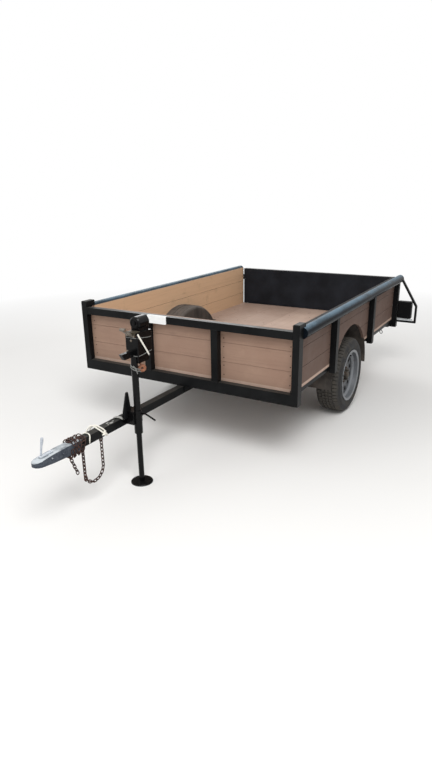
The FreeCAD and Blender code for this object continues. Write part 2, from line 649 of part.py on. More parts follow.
def hub():
    """Left hub with its grease cap, wheel nuts and bore."""
    half = RIM_WIDTH / 2
    mount = WHEEL_Y + half - DISC_RECESS - 10 - DISC_THICKNESS
    bore = SPINDLE_RADIUS + HUB_BORE_CLEARANCE
    inner_y = RAIL_Y + RAIL_WIDTH / 2 + 2
    profile = [(bore, inner_y + 6), (HUB_RADIUS - 20, inner_y + 6), (HUB_RADIUS - 20, mount - 12),
               (HUB_RADIUS + 12, mount - 12), (HUB_RADIUS + 12, mount), (HUB_RADIUS * 0.5 - 0.3, mount),
               (HUB_RADIUS * 0.5 - 0.3, mount + 18), (CAP_RADIUS, mount + 18), (CAP_RADIUS, mount + 42),
               (CAP_RADIUS - 8, mount + 50), (0, mount + 50), (0, mount + 40), (bore, mount + 40)]
    body = revolved_y(profile, AXLE_X, AXLE_HEIGHT)
    nuts = []
    for index in range(5):
        angle = 2 * math.pi * index / 5
        nuts.append(rod_y(AXLE_X + STUD_CIRCLE * math.sin(angle), mount + DISC_THICKNESS,
                          mount + DISC_THICKNESS + 18,
                          AXLE_HEIGHT + STUD_CIRCLE * math.cos(angle), 10))
    return [body] + nuts


def tailgate_frame():
    """Angle-iron frame of the tailgate with one upright."""
    x0, x1 = REAR_X, REAR_X + GATE_THICKNESS
    half = POST_INNER - GATE_SIDE_GAP
    bottom = FLOOR_TOP + GATE_FLOOR_GAP
    frame = block(x0, x1, -half, half, bottom, GATE_TOP)
    angle, flange = GATE_ANGLE, GATE_FLANGE
    frame = frame.cut(block(x0, x1 - angle, -half + angle, half - angle, bottom + angle,
                            GATE_TOP - angle))
    frame = frame.cut(block(x0, x1, -half + flange, half - flange, bottom + flange,
                            GATE_TOP - flange))
    upright = block(x1 - GATE_UPRIGHT, x1, -GATE_UPRIGHT / 2, GATE_UPRIGHT / 2, bottom, GATE_TOP)
    return fused([frame, upright])


def tailgate_sheet():
    """Sheet steel on the inside of the tailgate frame."""
    half = POST_INNER - GATE_SIDE_GAP
    x0 = REAR_X + GATE_THICKNESS
    return block(x0, x0 + GATE_SKIN, -half, half, FLOOR_TOP + GATE_FLOOR_GAP, GATE_TOP)


def hinge_axis_x():
    """Hinge line of the tailgate."""
    return REAR_X - HINGE_BACK


def tailgate_leaves():
    """Hinge leaves that hang from the tailgate, each with the middle knuckle."""
    x = hinge_axis_x()
    leaves = []
    for y in HINGE_Y:
        half = HINGE_KNUCKLE / 2
        knuckle = rod_y(x, y - half, y + half, HINGE_HEIGHT, HINGE_KNUCKLE_RADIUS)
        strap = block(REAR_X - HINGE_LEAF, REAR_X, y - half, y + half, HINGE_HEIGHT,
                      FLOOR_TOP + GATE_FLOOR_GAP + GATE_FLANGE)
        # The strap stands clear of the sill behind it where it passes the floor's edge
        relief = block(REAR_X - 1.0, REAR_X, y - half, y + half, HINGE_HEIGHT,
                       FLOOR_TOP + GATE_FLOOR_GAP)
        bore = rod_y(x, y - half, y + half, HINGE_HEIGHT, HINGE_PIN_RADIUS + HINGE_CLEARANCE)
        leaves.append(fused([knuckle, strap]).cut(relief).cut(bore))
    return leaves


def hinge_knuckles():
    """Outer knuckles and pins on the rear sill."""
    x = hinge_axis_x()
    solids = []
    for y in HINGE_Y:
        inner = HINGE_KNUCKLE / 2 + 1
        outer = inner + HINGE_KNUCKLE / 2
        pieces = [rod_y(x, y - outer - 8, y + outer + 8, HINGE_HEIGHT, HINGE_PIN_RADIUS)]
        for side in (-1, 1):
            pieces.append(rod_y(x, y + side * inner, y + side * outer, HINGE_HEIGHT,
                                HINGE_KNUCKLE_RADIUS))
            pieces.append(block(REAR_X - HINGE_BACK, REAR_X, y + side * inner, y + side * outer,
                                HINGE_HEIGHT - HINGE_KNUCKLE_RADIUS, HINGE_HEIGHT))
        solids.append(fused(pieces))
    return solids


def tailgate_pins():
    """Fixed pins on the tailgate that lie in the catches."""
    half = POST_INNER - GATE_SIDE_GAP
    x = REAR_X - CATCH_REACH / 2
    pins = []
    for side in (-1, 1):
        lug = block(REAR_X, REAR_X - CATCH_REACH + CATCH_LUG_SHORT, side * half,
                    side * (half - CATCH_PLATE), CATCH_HEIGHT - CATCH_LUG_HALF,
                    CATCH_HEIGHT + CATCH_LUG_HALF)
        pin = rod_y(x, side * (half - CATCH_PLATE), side * (HALF_WIDTH - CATCH_PIN_END),
                    CATCH_HEIGHT, CATCH_PIN_RADIUS)
        pins.append(fused([lug, pin]))
    return pins


def tailgate_catches():
    """Slotted catch plates on the rear posts, open to the rear."""
    x = REAR_X - CATCH_REACH / 2
    plates = []
    for side in (-1, 1):
        y0 = side * (HALF_WIDTH - CATCH_INSET)
        y1 = y0 + side * CATCH_PLATE
        plate = block(REAR_X, REAR_X - CATCH_REACH, y0, y1, CATCH_HEIGHT - CATCH_HALF,
                      CATCH_HEIGHT + CATCH_HALF)
        slot_radius = CATCH_PIN_RADIUS + CATCH_PLAY
        slot = block(x, REAR_X - CATCH_REACH - 1, y0 - 1, y1 + 1, CATCH_HEIGHT - slot_radius,
                     CATCH_HEIGHT + slot_radius)
        slot = slot.fuse(rod_y(x, min(y0, y1) - 1, max(y0, y1) + 1, CATCH_HEIGHT, slot_radius))
        plates.append(plate.cut(slot))
    return plates


def lamp_guard():
    """Left tail-lamp guard of flat bar, from the pipe's end out and back to the post."""
    out = HALF_WIDTH + GUARD_REACH
    bar = GUARD_BAR
    start = PIPE_Y + GUARD_START
    run, rise = out - start, GUARD_TOP - GUARD_KNEE
    drop = bar * math.hypot(run, rise) / run
    knee_drop = drop - bar * rise / run
    outline = [(start, GUARD_TOP), (out, GUARD_KNEE), (out, GUARD_BOTTOM), (HALF_WIDTH, GUARD_BOTTOM),
               (HALF_WIDTH, GUARD_BOTTOM + bar), (out - bar, GUARD_BOTTOM + bar),
               (out - bar, GUARD_KNEE - knee_drop), (start, GUARD_TOP - drop)]
    guard = polygon([(REAR_X, y, z) for y, z in outline]).extrude(Vector(GUARD_DEPTH, 0, 0))
    return guard.cut(rod(REAR_X - 1, PIPE_Y, PIPE_Z, PIPE_RADIUS, GUARD_DEPTH + 2, X_AXIS))


def lamp_place():
    """Left lamp's inner y, outer y, bottom and top."""
    y0 = HALF_WIDTH + LAMP_GAP
    return y0, y0 + LAMP_WIDTH, LAMP_BASE, LAMP_BASE + LAMP_HEIGHT


def tail_lamp():
    """Left lamp housing with the bracket that holds it to the guard's bottom bar."""
    y0, y1, z0, z1 = lamp_place()
    x_back = REAR_X - LAMP_OVERHANG + LENS_DEPTH
    housing = block(x_back, x_back + LAMP_DEPTH, y0, y1, z0, z1)
    housing = housing.makeFillet(LAMP_ROUND, [e for e in housing.Edges if e.BoundBox.XMin > x_back + 1])
    bracket = block(window_back() - BRACKET_DEPTH, window_back(), y0 + BRACKET_INSET, y1 - BRACKET_INSET,
                    GUARD_BOTTOM + GUARD_BAR, z0)
    return fused([housing, bracket])


def window_back():
    """Rear face of the clear strips, in front of the lamps' brackets."""
    return REAR_X + BRACKET_DEPTH


def lamp_window():
    """Left clear strip under the lamp."""
    lamp_y0, lamp_y1, _, _ = lamp_place()
    y0 = (lamp_y0 + lamp_y1 - WINDOW_WIDTH) / 2 + WINDOW_SHIFT
    return block(window_back(), window_back() + WINDOW_DEPTH, y0, y0 + WINDOW_WIDTH, WINDOW_BASE,
                 WINDOW_BASE + WINDOW_HEIGHT)


def tail_lens():
    """Left red lens behind the housing."""
    y0, y1, z0, z1 = lamp_place()
    x_back = REAR_X - LAMP_OVERHANG
    lens = block(x_back, x_back + LENS_DEPTH, y0 + LENS_INSET, y1 - LENS_INSET, z0 + LENS_INSET,
                 z1 - LENS_INSET)
    return lens.makeFillet(LENS_ROUND, [e for e in lens.Edges if e.BoundBox.XMax < x_back + 1])


def tongue_beam():
    """Square tube from under the frame out to the coupler."""
    return tube_x(FRONT_X - TONGUE_BACK, BEAM_END, 0, FRAME_BOTTOM - TONGUE_SIZE, TONGUE_SIZE,
                  TONGUE_SIZE, TUBE_WALL)


def tongue_saddle():
    """Two plates that hold the tongue under the front sill."""
    x0 = FRONT_X - RAIL_DEPTH
    half = TONGUE_SIZE / 2
    plates = []
    for side in (-1, 1):
        corner = [(x0, side * half, FRAME_BOTTOM), (FRONT_X, side * half, FRAME_BOTTOM),
                  (FRONT_X, side * half, FRAME_BOTTOM - TONGUE_SIZE + 10),
                  (x0, side * half, FRAME_BOTTOM - TONGUE_SIZE + 10)]
        plates.append(polygon(corner).extrude(Vector(0, side * SADDLE_PLATE, 0)))
    return plates


def coupler():
    """Pressed coupler over the tongue's end, with a round nose and a ball socket."""
    half = COUPLER_WIDTH / 2
    top = FRAME_BOTTOM + COUPLER_WALL
    bottom = top - COUPLER_HEIGHT
    nose_x = FRONT_X + COUPLER_REACH - half
    start, beam_end = FRONT_X + COUPLER_START, BEAM_END
    sleeve_half = TONGUE_SIZE / 2 + COUPLER_WALL
    sleeve = block(start, beam_end, -sleeve_half, sleeve_half, bottom, top)
    neck = block(beam_end, nose_x, -sleeve_half, sleeve_half, bottom, top)
    nose = rod(nose_x, 0, bottom, half, COUPLER_HEIGHT, Z_AXIS)
    body = fused([sleeve, neck, nose])
    beam = block(start - 1, beam_end, -TONGUE_SIZE / 2, TONGUE_SIZE / 2, bottom - 1, FRAME_BOTTOM)
    under = block(beam_end, nose_x, -sleeve_half + COUPLER_WALL, sleeve_half - COUPLER_WALL,
                  bottom - 1, top - COUPLER_WALL)
    ball_radius = BALL_DIAMETER / 2 + BALL_CLEARANCE
    ball = Part.makeSphere(ball_radius, Vector(nose_x, 0, top - COUPLER_WALL - ball_radius))
    throat = rod(nose_x, 0, bottom - 1, ball_radius, top - COUPLER_WALL - ball_radius - bottom + 1,
                 Z_AXIS)
    return body.cut(beam).cut(under).cut(ball).cut(throat)


def coupler_latch():
    """Latch lever that stands up on the coupler."""
    top = FRAME_BOTTOM + COUPLER_WALL
    x = FRONT_X + COUPLER_REACH - COUPLER_WIDTH / 2 - 60
    foot = block(x - LATCH_LENGTH, x + 12, -LATCH_WIDTH / 2, LATCH_WIDTH / 2, top, top + LATCH_FOOT)
    lever = block(x - 9, x + 9, -6, 6, top, top + LATCH_HEIGHT)
    grip = rod(x, 0, top + LATCH_HEIGHT - 8, 9, 16, Z_AXIS)
    hole = rod_y(x - LATCH_LENGTH + 14, -LATCH_WIDTH, LATCH_WIDTH, top + LATCH_FOOT / 2,
                 LATCH_HOLE_RADIUS)
    return fused([foot, lever, grip]).cut(hole)


def chain_link(place, forward, across, bar, length, width):
    """One square-bar link about a point, along one direction and wide in another."""
    thick = forward.cross(across)
    outer_length, outer_width = length + 2 * bar, width + 2 * bar
    link = Part.makeBox(outer_length, outer_width, bar,
                        Vector(-outer_length / 2, -outer_width / 2, -bar / 2))
    link = link.cut(Part.makeBox(length, width, bar + 2, Vector(-length / 2, -width / 2, -bar / 2 - 1)))
    matrix = FreeCAD.Matrix(forward.x, across.x, thick.x, place.x, forward.y, across.y, thick.y,
                            place.y, forward.z, across.z, thick.z, place.z, 0, 0, 0, 1)
    return link.transformGeometry(matrix)


def hanging_points(x, far_x, count):
    """Middle and direction of each link: straight down from a lug, and round to another if given.

    Points are (x, z, direction x, direction z) along the strand, one pitch apart.
    """
    pitch = CHAIN_LENGTH - CHAIN_PLAY
    hole = FRAME_BOTTOM - TONGUE_SIZE - LUG_DROP + LUG_WIDTH / 2
    start = hole - LUG_HOLE + LUG_PLAY - CHAIN_LENGTH / 2
    points = []
    turn = (x - far_x) / 2 if far_x else 0
    straight = start - LOOP_BOTTOM
    for index in range(count):
        s = index * pitch
        if not far_x or s <= straight:
            points.append((x, start - s, 0.0, -1.0))
        elif s <= straight + math.pi * turn:
            angle = (s - straight) / turn
            points.append((x - turn + turn * math.cos(angle), LOOP_BOTTOM - turn * math.sin(angle),
                           -math.sin(angle), -math.cos(angle)))
        else:
            points.append((far_x, LOOP_BOTTOM + s - straight - math.pi * turn, 0.0, 1.0))
    return points


def safety_chains():
    """Links of the hanging loop and of the two loose strands, each turned against the next."""
    (near, near_y), (far, _), (loose, loose_y), (short, short_y) = CHAIN_LUGS
    # Lug ahead of the front face, y, the lug that takes the other end, number of links
    strands = ((near, near_y, far, 23), (loose, loose_y, None, 9), (short, short_y, None, 6))
    links = []
    for ahead, y, other, count in strands:
        places = hanging_points(FRONT_X + ahead, FRONT_X + other if other else None, count)
        for index, (x, z, dx, dz) in enumerate(places):
            forward = Vector(dx, 0, dz)
            across = Y_AXIS if index % 2 == 0 else Vector(-dz, 0, dx)
            links.append(chain_link(Vector(x, y, z), forward, across, CHAIN_BAR, CHAIN_LENGTH,
                                    CHAIN_WIDTH))
    return links


def chain_lugs():
    """Drilled lugs under the tongue that hold the chains."""
    lugs = []
    top = FRAME_BOTTOM - TONGUE_SIZE
    for ahead, y in CHAIN_LUGS:
        x = FRONT_X + ahead
        y0, y1 = y - LUG_THICKNESS / 2, y + LUG_THICKNESS / 2
        z = top - LUG_DROP + LUG_WIDTH / 2
        lug = fused([block(x - LUG_WIDTH / 2, x + LUG_WIDTH / 2, y0, y1, z, top),
                     rod_y(x, y0, y1, z, LUG_WIDTH / 2)])
        lugs.append(lug.cut(rod_y(x, y0 - 1, y1 + 1, z, LUG_HOLE)))
    return lugs


def jack_mount():
    """Fixed swivel plate on the tongue's left side, with the pivot pin."""
    half = TONGUE_SIZE / 2
    plate = rod_y(JACK_X, half, half + JACK_PLATE, JACK_PIVOT, JACK_PLATE_RADIUS)
    pin = rod_y(JACK_X, half, half + JACK_PLATE + 22, JACK_PIVOT, 12)
    return fused([plate, pin])


def jack_tube():
    """Outer tube of the jack with its turning plate, bracket block and pull pin."""
    y_plate = TONGUE_SIZE / 2 + JACK_PLATE + SWIVEL_GAP
    tube = rod(JACK_X, JACK_Y, JACK_TUBE_BOTTOM, JACK_TUBE_RADIUS,
               JACK_TUBE_TOP - JACK_TUBE_BOTTOM, Z_AXIS)
    plate = rod_y(JACK_X, y_plate, y_plate + JACK_PLATE, JACK_PIVOT, JACK_PLATE_RADIUS - 3)
    web = block(JACK_X - JACK_WEB / 2, JACK_X + JACK_WEB / 2, y_plate + JACK_PLATE, JACK_Y,
                JACK_PIVOT - 38, JACK_PIVOT + 46)
    pull_pin = rod_y(JACK_X - 34, y_plate, JACK_Y + 30, JACK_PIVOT + 14, 6)
    sleeve = rod(JACK_X, JACK_Y, JACK_TUBE_BOTTOM, JACK_SLEEVE_RADIUS,
                 JACK_SLEEVE_TOP - JACK_TUBE_BOTTOM, Z_AXIS)
    body = fused([tube, sleeve, plate, web, pull_pin])
    inner = rod(JACK_X, JACK_Y, JACK_TUBE_BOTTOM, JACK_TUBE_RADIUS - JACK_TUBE_WALL,
                JACK_TUBE_TOP - JACK_TUBE_BOTTOM - 6, Z_AXIS)
    pivot = rod_y(JACK_X, y_plate, y_plate + 22 - SWIVEL_GAP + 1, JACK_PIVOT, 12 + SWIVEL_GAP)
    return body.cut(inner).cut(pivot)


def head_span():
    """Rear and front face of the jack's head."""
    centre = JACK_X - JACK_HEAD_BACK
    return centre - JACK_HEAD_LENGTH / 2, centre + JACK_HEAD_LENGTH / 2


def jack_head():
    """Gear head of the jack: a box with a wedge below, a round drum on top and a front lug."""
    x0, x1 = head_span()
    half = JACK_HEAD_WIDTH / 2
    neck, lug_half = JACK_NECK_WIDTH / 2, JACK_LUG_WIDTH / 2
    base = JACK_TUBE_TOP
    shoulder = base + JACK_BOX_HEIGHT
    drum_z = JACK_HEAD_TOP - JACK_DRUM_RADIUS
    box = block(x0, x1, JACK_Y - half, JACK_Y + half, base, shoulder)
    box = box.makeFillet(JACK_HEAD_ROUND, [e for e in box.Edges if e.BoundBox.ZLength > 1])
    wedge_y, wedge_base = JACK_Y - JACK_TUBE_RADIUS, base - JACK_WEDGE_DEPTH
    wedge = polygon([(x0 + JACK_HEAD_ROUND, wedge_y, base), (JACK_X, wedge_y, base),
                     (JACK_X, wedge_y, wedge_base),
                     (x0 + JACK_HEAD_ROUND + JACK_WEDGE_SLANT, wedge_y, wedge_base)])
    wedge = wedge.extrude(Vector(0, JACK_TUBE_RADIUS + half - JACK_WEDGE_INSET, 0))
    wedge = wedge.cut(rod(JACK_X, JACK_Y, wedge_base, JACK_TUBE_RADIUS, JACK_WEDGE_DEPTH, Z_AXIS))
    neck_block = block(x0 + JACK_HEAD_ROUND, x1 - JACK_DRUM_SETBACK - JACK_HEAD_ROUND, JACK_Y - neck,
                       JACK_Y + neck, shoulder, drum_z)
    drum = rod(x0, JACK_Y, drum_z, JACK_DRUM_RADIUS, JACK_HEAD_LENGTH - JACK_DRUM_SETBACK, X_AXIS)
    drum = drum.makeChamfer(JACK_DRUM_BEVEL, [e for e in drum.Edges if e.BoundBox.XLength < 1])
    tip = x1 + JACK_LUG_LENGTH
    lug = polygon([(x1 - 1, JACK_Y - lug_half, base), (x1 - 1, JACK_Y - lug_half, base + JACK_LUG_HEIGHT),
                   (tip, JACK_Y - lug_half, base + JACK_LUG_HEIGHT),
                   (tip - JACK_LUG_SLANT, JACK_Y - lug_half, base)])
    lug = lug.extrude(Vector(0, JACK_LUG_WIDTH, 0))
    return fused([box, wedge, neck_block, drum, lug])


def jack_crank():
    """Crank arm that slopes up ahead of the head, with a cross knob at its end."""
    _, x1 = head_span()
    tip = x1 + CRANK_REACH
    half = CRANK_WIDTH / 2
    low = JACK_TUBE_TOP + JACK_BOX_HEIGHT - CRANK_THICKNESS - CRANK_KNOB_RADIUS
    high = low + CRANK_RISE
    arm = polygon([(x1, JACK_Y - half, low), (tip, JACK_Y - half, high),
                   (tip, JACK_Y - half, high + CRANK_THICKNESS),
                   (x1, JACK_Y - half, low + CRANK_THICKNESS)]).extrude(Vector(0, CRANK_WIDTH, 0))
    knob = rod_y(tip, JACK_Y - CRANK_KNOB_HALF, JACK_Y + CRANK_KNOB_HALF, high + CRANK_THICKNESS / 2,
                 CRANK_KNOB_RADIUS)
    return fused([arm, knob])


def jack_leg():
    """Inner leg of the jack."""
    radius = JACK_TUBE_RADIUS - JACK_TUBE_WALL - JACK_LEG_CLEARANCE
    leg = rod(JACK_X, JACK_Y, JACK_FOOT_THICKNESS, radius, JACK_LEG_TOP - JACK_FOOT_THICKNESS, Z_AXIS)
    return leg.cut(rod(JACK_X, JACK_Y, JACK_FOOT_THICKNESS, radius - 4, JACK_LEG_TOP, Z_AXIS))


def jack_foot():
    """Round foot plate with a collar round the leg."""
    plate = rod(JACK_X, JACK_Y, 0, JACK_FOOT_RADIUS, JACK_FOOT_THICKNESS, Z_AXIS)
    plate = plate.makeChamfer(3, [e for e in plate.Edges if e.BoundBox.ZMin > JACK_FOOT_THICKNESS - 1])
    return plate


def build():
    """Make and export every node."""
    os.makedirs("parts", exist_ok=True)
    write("main_rails", *main_rails())
    write("front_sill", end_sill(FRONT_X, -1))
    write("rear_sill", end_sill(REAR_X, 1))
    write("cross_members", *cross_members())
    write("outriggers", *outriggers())
    write("floor_boards", *floor_boards())
    write("front_planks", *front_planks())
    write("front_rail", front_rail())
    write("front_posts", *front_posts())
    write("front_corner_posts", *front_corner_posts())
    write("rear_corner_posts", *rear_corner_posts())
    write("axle_beam", axle_beam())
    for name, side in SIDES:
        write(f"side_sill_{name}", *[on_side(s, side) for s in side_sill()])
        write(f"side_boards_{name}", *[on_side(s, side) for s in side_boards()])
        write(f"side_posts_{name}", *[on_side(s, side) for s in side_posts()])
        write(f"side_pipe_{name}", on_side(side_pipe(), side))
        write(f"wheel_well_{name}", on_side(wheel_well(), side))
        write(f"tyre_{name}", on_side(tyre(), side))
        write(f"rim_{name}", on_side(rim(), side))
        write(f"hub_{name}", *[on_side(s, side) for s in hub()])
    write("leaf_springs", *[on_side(leaf_spring(), side) for _, side in SIDES])
    write("spring_hangers", *[on_side(s, side) for _, side in SIDES for s in spring_hangers()])
    write("axle_clamps", *[on_side(axle_clamps(), side) for _, side in SIDES])
    write("lamp_guards", *[on_side(lamp_guard(), side) for _, side in SIDES])
    write("tail_lamps", *[on_side(tail_lamp(), side) for _, side in SIDES])
    write("tail_lenses", *[on_side(tail_lens(), side) for _, side in SIDES])
    write("lamp_windows", *[on_side(lamp_window(), side) for _, side in SIDES])
    write("tailgate_frame", tailgate_frame())
    write("tailgate_sheet", tailgate_sheet())
    write("tailgate_leaves", *tailgate_leaves())
    write("tailgate_pins", *tailgate_pins())
    write("tailgate_catches", *tailgate_catches())
    write("hinge_knuckles", *hinge_knuckles())
    write("tongue_beam", tongue_beam())
    write("tongue_saddle", *tongue_saddle())
    write("coupler", coupler())
    write("coupler_latch", coupler_latch())
    write("chain_lugs", *chain_lugs())
    write("safety_chains", *safety_chains())
    write("jack_mount", jack_mount())
    write("jack_tube", jack_tube())
    write("jack_head", jack_head())
    write("jack_crank", jack_crank())
    write("jack_leg", jack_leg())
    write("jack_foot", jack_foot())


build()
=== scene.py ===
"""Looks of the utility trailer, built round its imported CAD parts.

Everything is in metres in the part's own frame: +X ahead to the coupler, +Y the trailer's left
side, +Z up, with the origin on the ground. Each sub-assembly is a class that models its pieces and
dresses them, and each finish is a frozen dataclass that makes one material.
"""

import logging
import math
from contextlib import contextmanager
from dataclasses import dataclass
from enum import Enum
from typing import Callable, Iterator, Optional, Sequence, Union

import bmesh
import bpy
from mathutils import Matrix, Vector


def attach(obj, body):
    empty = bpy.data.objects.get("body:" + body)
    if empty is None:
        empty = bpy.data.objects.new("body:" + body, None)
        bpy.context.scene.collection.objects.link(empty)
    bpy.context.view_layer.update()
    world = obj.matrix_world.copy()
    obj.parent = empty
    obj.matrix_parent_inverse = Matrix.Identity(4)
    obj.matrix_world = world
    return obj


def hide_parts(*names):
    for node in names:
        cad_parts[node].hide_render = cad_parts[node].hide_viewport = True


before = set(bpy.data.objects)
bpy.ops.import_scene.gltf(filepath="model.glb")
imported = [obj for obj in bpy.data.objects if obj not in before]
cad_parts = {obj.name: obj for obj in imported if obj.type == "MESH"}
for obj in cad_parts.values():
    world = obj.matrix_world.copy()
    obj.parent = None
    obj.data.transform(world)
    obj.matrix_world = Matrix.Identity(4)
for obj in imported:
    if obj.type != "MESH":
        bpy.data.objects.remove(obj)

Colour = tuple[float, float, float]
Triple = tuple[float, float, float]
Socket = bpy.types.NodeSocket
Value = Union[Socket, float]
Piece = bpy.types.Object

log = logging.getLogger("trailer")

# Places that the solids share with the pieces made here
FRONT_X = 0.585
REAR_X = -1.875
AXLE_X = -0.578
AXLE_Z = 0.297
BOARD_OUTER = 0.8235
SILL_BOTTOM = 0.472
FRAME_TOP = 0.502
FLOOR_TOP = 0.522
RAIL_BOTTOM = 0.852
RAIL_TOP = 0.902
PLANK_FACE_X = FRONT_X - 0.045
WALL_SEAMS = (0.637, 0.767)
FLOOR_SEAMS = (-0.692, -0.406, -0.120, 0.166, 0.452)
BEAM_TOP = 0.428
BEAM_Z = BEAM_TOP - 0.025
JACK_X = 1.185
JACK_Y = 0.100
TUBE_RADIUS = 0.020
HEAD_X = JACK_X - 0.052
HEAD_FRONT = 1.199
HEAD_TOP = 0.950

# Bolts' washers, as a share of the head's radius and by thickness
WASHER_SHARE = 1.35
WASHER_THICK = 0.0016

# Angles in degrees past which edges stay sharp, and how near a point counts as on a plane
PLATE_EDGES = 35.0
ROUND_EDGES = 60.0
NEAR = 0.001


class Axis(Enum):
    """A direction of the part's frame, by its place in a vector."""

    X = 0
    Y = 1
    Z = 2


class Side(Enum):
    """A side of the trailer, by the sign of its y."""

    LEFT = 1
    RIGHT = -1


# Turn that stands a cylinder up along each axis
STANDING = {Axis.X: (0.0, math.pi / 2, 0.0), Axis.Y: (-math.pi / 2, 0.0, 0.0),
            Axis.Z: (0.0, 0.0, 0.0)}


def colour(red: int, green: int, blue: int) -> Colour:
    """Turns a colour as it is seen into a linear one.

    Args:
        red: From 0 to 255.
        green: From 0 to 255.
        blue: From 0 to 255.

    Returns:
        The linear colour.
    """
    def linear(value: int) -> float:
        """Linear share of one of the three."""
        share = value / 255
        return share / 12.92 if share <= 0.04045 else ((share + 0.055) / 1.055) ** 2.4

    return (linear(red), linear(green), linear(blue))


# Finishes


class Nodes:
    """The node tree of one material, with a method for each kind of node used here."""

    def __init__(self, name: str) -> None:
        """Starts a material with a shader joined to its output.

        Args:
            name: The material's name.
        """
        self.material = bpy.data.materials.new(name)
        self.material.use_nodes = True
        self.tree = self.material.node_tree
        self.tree.nodes.clear()
        self.shader = self.add("ShaderNodeBsdfPrincipled")
        self.output = self.add("ShaderNodeOutputMaterial")
        self.tree.links.new(self.shader.outputs["BSDF"], self.output.inputs["Surface"])
        self.coordinates = self.add("ShaderNodeTexCoord")

    def add(self, kind: str) -> bpy.types.Node:
        """A new node of a kind."""
        return self.tree.nodes.new(kind)

    def give(self, target: Socket, value: Union[Value, Sequence[float]]) -> None:
        """Gives an input what it takes.

        Args:
            target: The input.
            value: A socket to join to it, or a plain value to set it to.
        """
        if isinstance(value, bpy.types.NodeSocket):
            self.tree.links.new(value, target)
        elif isinstance(value, (int, float)):
            target.default_value = value
        else:
            wanted = len(target.default_value)
            target.default_value = tuple(value) + (1.0,) * (wanted - len(value))

    def place(self, scale: Triple = (1.0, 1.0, 1.0)) -> Socket:
        """Reads object coordinates.

        Args:
            scale: Their scale along each axis.

        Returns:
            The coordinates.
        """
        mapping = self.add("ShaderNodeMapping")
        self.give(mapping.inputs["Vector"], self.coordinates.outputs["Object"])
        self.give(mapping.inputs["Scale"], scale)
        return mapping.outputs["Vector"]

    def part(self, vector: Socket, axis: Axis) -> Socket:
        """Takes one component of a vector.

        Args:
            vector: The vector.
            axis: The component's axis.

        Returns:
            The component.
        """
        node = self.add("ShaderNodeSeparateXYZ")
        self.give(node.inputs["Vector"], vector)
        return node.outputs[axis.value]

    def facing(self, axis: Axis) -> Socket:
        """How far the surface faces along an axis, from -1 to 1."""
        return self.part(self.coordinates.outputs["Normal"], axis)

    def noise(self, where: Socket, scale: float, detail: float = 4.0, roughness: float = 0.55,
              twist: float = 0.0) -> Socket:
        """Makes cloudy noise.

        Args:
            where: The coordinates it is read at.
            scale: How many clouds to a metre, before the coordinates' own scale.
            detail: Number of finer layers.
            roughness: Strength of the finer layers.
            twist: How far the noise distorts itself.

        Returns:
            The noise's value, around 0.5.
        """
        node = self.add("ShaderNodeTexNoise")
        self.give(node.inputs["Vector"], where)
        self.give(node.inputs["Scale"], scale)
        self.give(node.inputs["Detail"], detail)
        self.give(node.inputs["Roughness"], roughness)
        self.give(node.inputs["Distortion"], twist)
        return node.outputs[0]

    def cells(self, where: Socket, scale: float) -> Socket:
        """Measures the distance to the nearest of scattered points.

        Args:
            where: The coordinates it is read at.
            scale: How many points to a metre, before the coordinates' own scale.

        Returns:
            The distance, as a share of the points' spacing.
        """
        node = self.add("ShaderNodeTexVoronoi")
        self.give(node.inputs["Vector"], where)
        self.give(node.inputs["Scale"], scale)
        return node.outputs["Distance"]

    def chance(self, value: Socket) -> Socket:
        """Draws an even random number for each value.

        Args:
            value: The value.

        Returns:
            The number, from 0 to 1.
        """
        node = self.add("ShaderNodeTexWhiteNoise")
        node.noise_dimensions = "1D"
        self.give(node.inputs["W"], value)
        return node.outputs["Value"]

    def calc(self, operation: str, first: Value, second: Value = 0.0) -> Socket:
        """Does a sum.

        Args:
            operation: The name of the node's operation.
            first: Its first value.
            second: Its second value, where it has one.

        Returns:
            The result.
        """
        node = self.add("ShaderNodeMath")
        node.operation = operation
        self.give(node.inputs[0], first)
        self.give(node.inputs[1], second)
        return node.outputs[0]

    def plus(self, first: Value, second: Value) -> Socket:
        """Sum of two values."""
        return self.calc("ADD", first, second)

    def minus(self, first: Value, second: Value) -> Socket:
        """First value less the second."""
        return self.calc("SUBTRACT", first, second)

    def times(self, first: Value, second: Value) -> Socket:
        """Product of two values."""
        return self.calc("MULTIPLY", first, second)

    def length(self, first: Socket, second: Socket) -> Socket:
        """Length of a line that goes by one value along and the other across."""
        return self.calc("SQRT", self.plus(self.times(first, first), self.times(second, second)))

    def span(self, value: Socket, low: float, high: float, start: float = 0.0,
             end: float = 1.0) -> Socket:
        """Turns a value's way between two numbers into one between two others.

        Args:
            value: The value.
            low: The value that gives the start.
            high: The value that gives the end.
            start: The result at and before low.
            end: The result at and past high.

        Returns:
            The result.
        """
        node = self.add("ShaderNodeMapRange")
        for name, number in zip(("From Min", "From Max", "To Min", "To Max"),
                                (low, high, start, end)):
            self.give(node.inputs[name], number)
        self.give(node.inputs["Value"], value)
        return node.outputs["Result"]

    def mix(self, share: Value, first: Union[Socket, Colour], second: Union[Socket, Colour]
            ) -> Socket:
        """Mixes two colours.

        Args:
            share: The second colour's share.
            first: The first colour.
            second: The second colour.

        Returns:
            The mixed colour.
        """
        node = self.add("ShaderNodeMix")
        node.data_type = "RGBA"
        self.give(node.inputs["Factor"], share)
        first_colour, second_colour = [one for one in node.inputs if one.type == "RGBA"]
        self.give(first_colour, first)
        self.give(second_colour, second)
        return next(one for one in node.outputs if one.type == "RGBA")

    def steps(self, value: Socket, edges: Sequence[float]) -> Socket:
        """Counts the edges that a value has passed.

        Args:
            value: The value.
            edges: The edges.

        Returns:
            Their number.
        """
        total: Value = 0.0
        for edge in edges:
            total = self.plus(total, self.calc("GREATER_THAN", value, edge))
        return total

